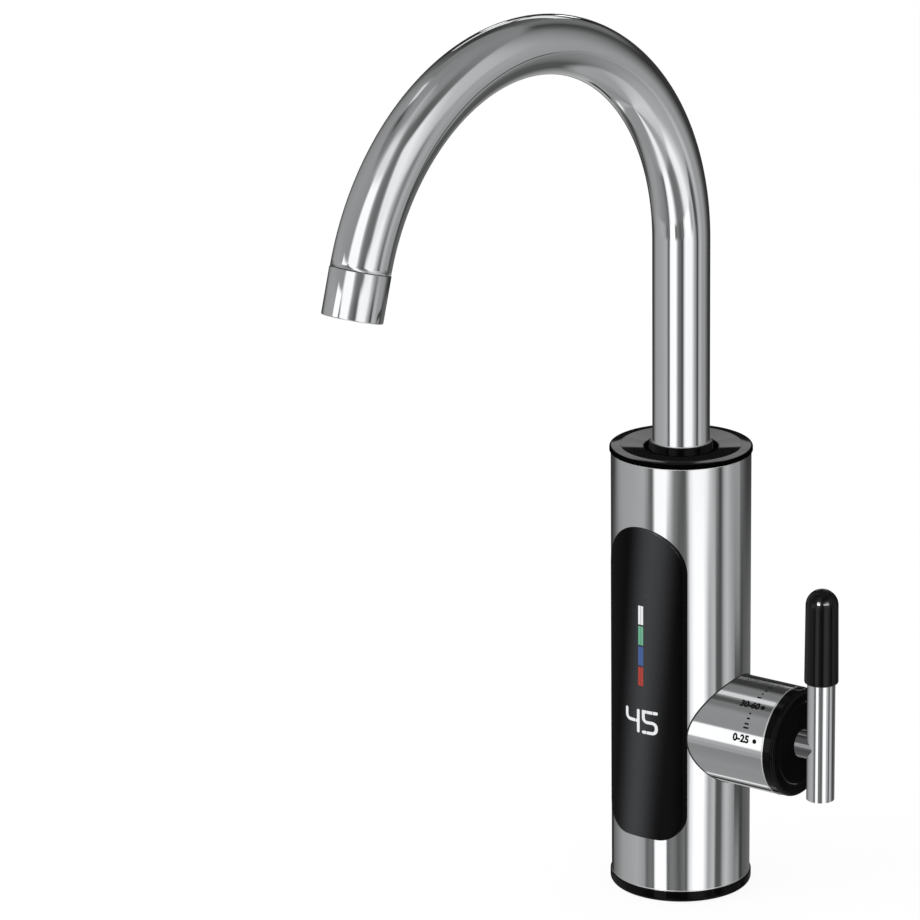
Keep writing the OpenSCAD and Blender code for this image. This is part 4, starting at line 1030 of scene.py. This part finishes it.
behind_camera = math.degrees(math.atan2(camera_back.y, camera_back.x))
azimuth = sum_of(room, "DEGREES", sum_of(room, "ARCTAN2", parts["Y"], parts["X"]))
turned_round = sum_of(room, "ADD", azimuth, 540 - behind_camera)
round_room = sum_of(room, "DIVIDE", sum_of(room, "FLOORED_MODULO", turned_round, 360), 360)
up_room = sum_of(room, "DEGREES", sum_of(room, "ARCSINE", parts["Z"]))

below = wall_of_light("below", [
    (-180, 0.33), (-162, 0.35), (-156, 0.50), (-150, 0.50), (-144, 0.36), (-84, 0.34), (-66, 0.36),
    (-55, 0.62), (-44, 1.10), (-26, 1.10), (-14, 0.60), (-4, 0.42), (12, 0.44), (30, 0.70),
    (60, 0.76), (84, 0.60), (108, 0.42), (150, 0.42), (180, 0.34),
])
under_arch = wall_of_light("under the arch", [
    (-180, 0.50), (-170, 0.48), (-162, 0.30), (-152, 0.10), (-142, 0.06), (-132, 0.24), (-122, 0.36),
    (-100, 0.40), (-84, 0.34), (-66, 0.28), (-52, 0.17), (-49, 0.24), (-44, 1.10), (-38, 1.30),
    (-27, 1.30), (-20, 0.80), (-15, 0.30), (-8, 0.20), (8, 0.21), (14, 0.36), (22, 1.05),
    (36, 1.15), (48, 0.80), (62, 0.50), (80, 0.44), (96, 0.30), (108, 0.20), (118, 0.11),
    (140, 0.10), (156, 0.26), (180, 0.50),
])
beside_body = wall_of_light("beside the body", [
    (-180, 0.03), (-157, 0.03), (-150, 0.16), (-136, 0.24), (-116, 0.41), (-80, 0.50), (-66, 0.40),
    (-61, 0.14), (-54, 0.22), (-48, 0.14), (-46, 1.35), (-27, 1.35), (-25, 0.10), (-20, 0.22),
    (-15, 0.24), (-4, 0.11), (3, 0.22), (7, 0.09), (12, 0.95), (20, 1.40), (34, 1.40), (44, 0.42),
    (54, 0.64), (58, 0.10), (67, 0.11), (72, 0.45), (79, 0.64), (98, 0.30), (111, 0.36),
    (118, 0.04), (124, 0.12), (180, 0.20),
])
beside_tube = wall_of_light("beside the tube", [
    (-180, 0.05), (-144, 0.05), (-134, 0.22), (-124, 0.37), (-112, 0.42), (-84, 0.45), (-66, 0.52),
    (-60, 0.44), (-56, 0.20), (-51, 0.07), (-46, 1.25), (-24, 1.30), (-19, 0.72), (-14, 0.28),
    (-5, 0.18), (1, 0.08), (4, 0.10), (12, 1.05), (17, 1.25), (40, 1.20), (50, 0.60), (59, 0.31),
    (64, 0.06), (67, 0.08), (72, 0.45), (78, 0.58), (90, 0.40), (105, 0.38), (116, 0.20),
    (126, 0.09), (136, 0.04), (180, 0.04),
])
level = wall_of_light("level", [
    (-180, 0.04), (-166, 0.05), (-156, 0.16), (-142, 0.32), (-124, 0.39), (-84, 0.43), (-68, 0.50),
    (-60, 0.43), (-56, 0.25), (-52, 0.14), (-47, 1.25), (-22, 1.30), (-17, 0.70), (-12, 0.30),
    (-4, 0.20), (4, 0.12), (9, 0.20), (14, 1.00), (20, 1.20), (44, 1.15), (54, 0.62), (62, 0.36),
    (68, 0.24), (76, 0.42), (88, 0.44), (100, 0.38), (112, 0.24), (122, 0.12), (132, 0.04),
    (150, 0.04), (180, 0.04),
])
above_level = wall_of_light("above level", [
    (-180, 0.05), (-168, 0.05), (-158, 0.14), (-150, 0.26), (-138, 0.33), (-110, 0.38), (-84, 0.36),
    (-58, 0.33), (-55, 0.60), (-50, 1.25), (-19, 1.25), (-13, 0.48), (-5, 0.22), (12, 0.17),
    (18, 0.30), (24, 1.00), (42, 1.05), (56, 0.82), (68, 0.62), (84, 0.56), (98, 0.38), (114, 0.24),
    (124, 0.12), (134, 0.06), (142, 0.16), (152, 0.20), (164, 0.12), (180, 0.06),
])
high = wall_of_light("high", [
    (-180, 0.24), (-146, 0.25), (-142, 0.36), (-122, 0.36), (-118, 0.24), (-90, 0.23), (-74, 0.30),
    (-62, 0.52), (-50, 0.88), (-22, 0.90), (-12, 0.55), (-4, 0.28), (6, 0.19), (36, 0.13),
    (58, 0.17), (84, 0.25), (120, 0.28), (180, 0.25),
])
ceiling = wall_of_light("ceiling", [
    (-180, 0.29), (-60, 0.36), (-30, 0.56), (0, 0.46), (50, 0.31), (179, 0.29),
])
surround = below
for row, elevation, spread in (
    (under_arch, -52, 8), (beside_body, -25, 3), (beside_tube, -18.2, 2.6), (level, -7, 13),
    (above_level, 10, 10), (high, 46, 8), (ceiling, 66, 14),
):
    start, end = elevation - spread / 2, elevation + spread / 2
    surround = mixed(room, ramp(room, up_room, start, end, shape="SMOOTHSTEP"), surround, row)


def soft_box(wall, azimuths, elevations, strength, edge):
    """A lit panel in front of a wall, between two azimuths and between two elevations."""
    off_middle = sum_of(room, "ADD", turned_round, -180 - sum(azimuths) / 2)
    off_height = sum_of(room, "SUBTRACT", up_room, sum(elevations) / 2)
    reach = []
    for off, (start, end) in (
        (sum_of(room, "PINGPONG", off_middle, 180), azimuths),
        (sum_of(room, "ABSOLUTE", off_height), elevations),
    ):
        lit, dark = (end - start - edge) / 2, (end - start + edge) / 2
        reach.append(ramp(room, off, lit, dark, 1, 0, "SMOOTHSTEP"))
    inside = sum_of(room, "MULTIPLY", *reach)
    return mixed(room, inside, wall, (strength, strength, strength, 1))


for azimuths, elevations, strength, edge in (
    ((-78, -56), (-11, 14), 1.35, 3),
    ((-139, -122), (55, 63), 0.85, 3),
    ((-114, -99), (53, 61), 0.10, 4),
    ((-158, -149), (-60, -54), 1.20, 5),
    ((-178, -163), (-49, -41), 0.02, 4),
    ((98, 116), (-21.3, -19.4), 0.05, 1),
    ((160, 176.5), (20.5, 27), 1.00, 0.6),
    ((178.6, 195), (20.5, 26), 1.00, 0.6),
    ((160, 195), (6, 15.5), 0.02, 1),
    ((168, 175.7), (15.5, 20.5), 0.85, 0.6),
    ((176.9, 186), (15.5, 20.5), 0.85, 0.6),
    ((168.5, 172.9), (8.8, 12), 3.00, 0.8),
    ((182.2, 186.5), (8.8, 12), 3.00, 0.8),
):
    surround = soft_box(surround, azimuths, elevations, strength, edge)

light_path = put(room, "ShaderNodeLightPath", {}).outputs
even = room.nodes["Background"]
give(room, even, {"Color": white, "Strength": 0.85})
reflected = put(room, "ShaderNodeBackground", {"Color": surround})
plain = put(room, "ShaderNodeBackground", {"Color": white})
for_metal = put(room, "ShaderNodeMixShader", {
    "Fac": light_path["Is Glossy Ray"],
    1: even.outputs["Background"],
    2: reflected.outputs["Background"],
})
passing = (light_path["Is Camera Ray"], light_path["Is Transmission Ray"])
for_camera = put(room, "ShaderNodeMixShader", {
    "Fac": sum_of(room, "MAXIMUM", *passing),
    1: for_metal.outputs["Shader"],
    2: plain.outputs["Background"],
})
give(room, room.nodes["World Output"], {"Surface": for_camera.outputs["Shader"]})

# The key lamp. One large soft box, high on the left, for a little form on matt pieces.
key_data = bpy.data.lights.new("key", "AREA")
key_data.size = 1.4
key_data.energy = 14
key = new_object("key", key_data)
key.location = (-1.1, -1.6, 1.9)
key.rotation_euler = (Vector((0, 0, 0.15)) - key.location).to_track_quat("-Z", "Y").to_euler()
key.visible_glossy = False

# Two small bright lamps, high in front. They put crisp points on the black pieces and are
# linked to those alone, so that the steel and the valve's end cap don't show them.
sparkling = bpy.data.collections.new("sparkling")
for piece in (node["foot"], node["spout_collar"], node["lever_grip"], cap_cover, panel_cover):
    sparkling.objects.link(piece)
spark_aim = Vector((0.03, 0, 0.1))
spark_distance = 2
for side, way, rise, watts, across in (("left", -28, 24, 80, 0.6), ("right", 28, 22, 45, 1.3)):
    spark_data = bpy.data.lights.new("spark_" + side, "AREA")
    spark_data.shape = "RECTANGLE"
    spark_data.size = across
    spark_data.size_y = 0.5
    spark_data.energy = watts
    spark = new_object("spark_" + side, spark_data)
    heading, rise = math.radians(behind_camera + way), math.radians(rise)
    level_way = Vector((math.cos(heading), math.sin(heading), 0)) * math.cos(rise)
    away = level_way + Vector((0, 0, math.sin(rise)))
    spark.location = spark_aim + away * spark_distance
    spark.rotation_euler = away.to_track_quat("Z", "Y").to_euler()
    spark.visible_diffuse = False
    spark.light_linking.receiver_collection = sparkling

# The metal is lit by the studio alone: no piece shows in another's polish, as in the photograph.
for piece in scene.objects:
    if piece.type == "MESH":
        piece.visible_glossy = False
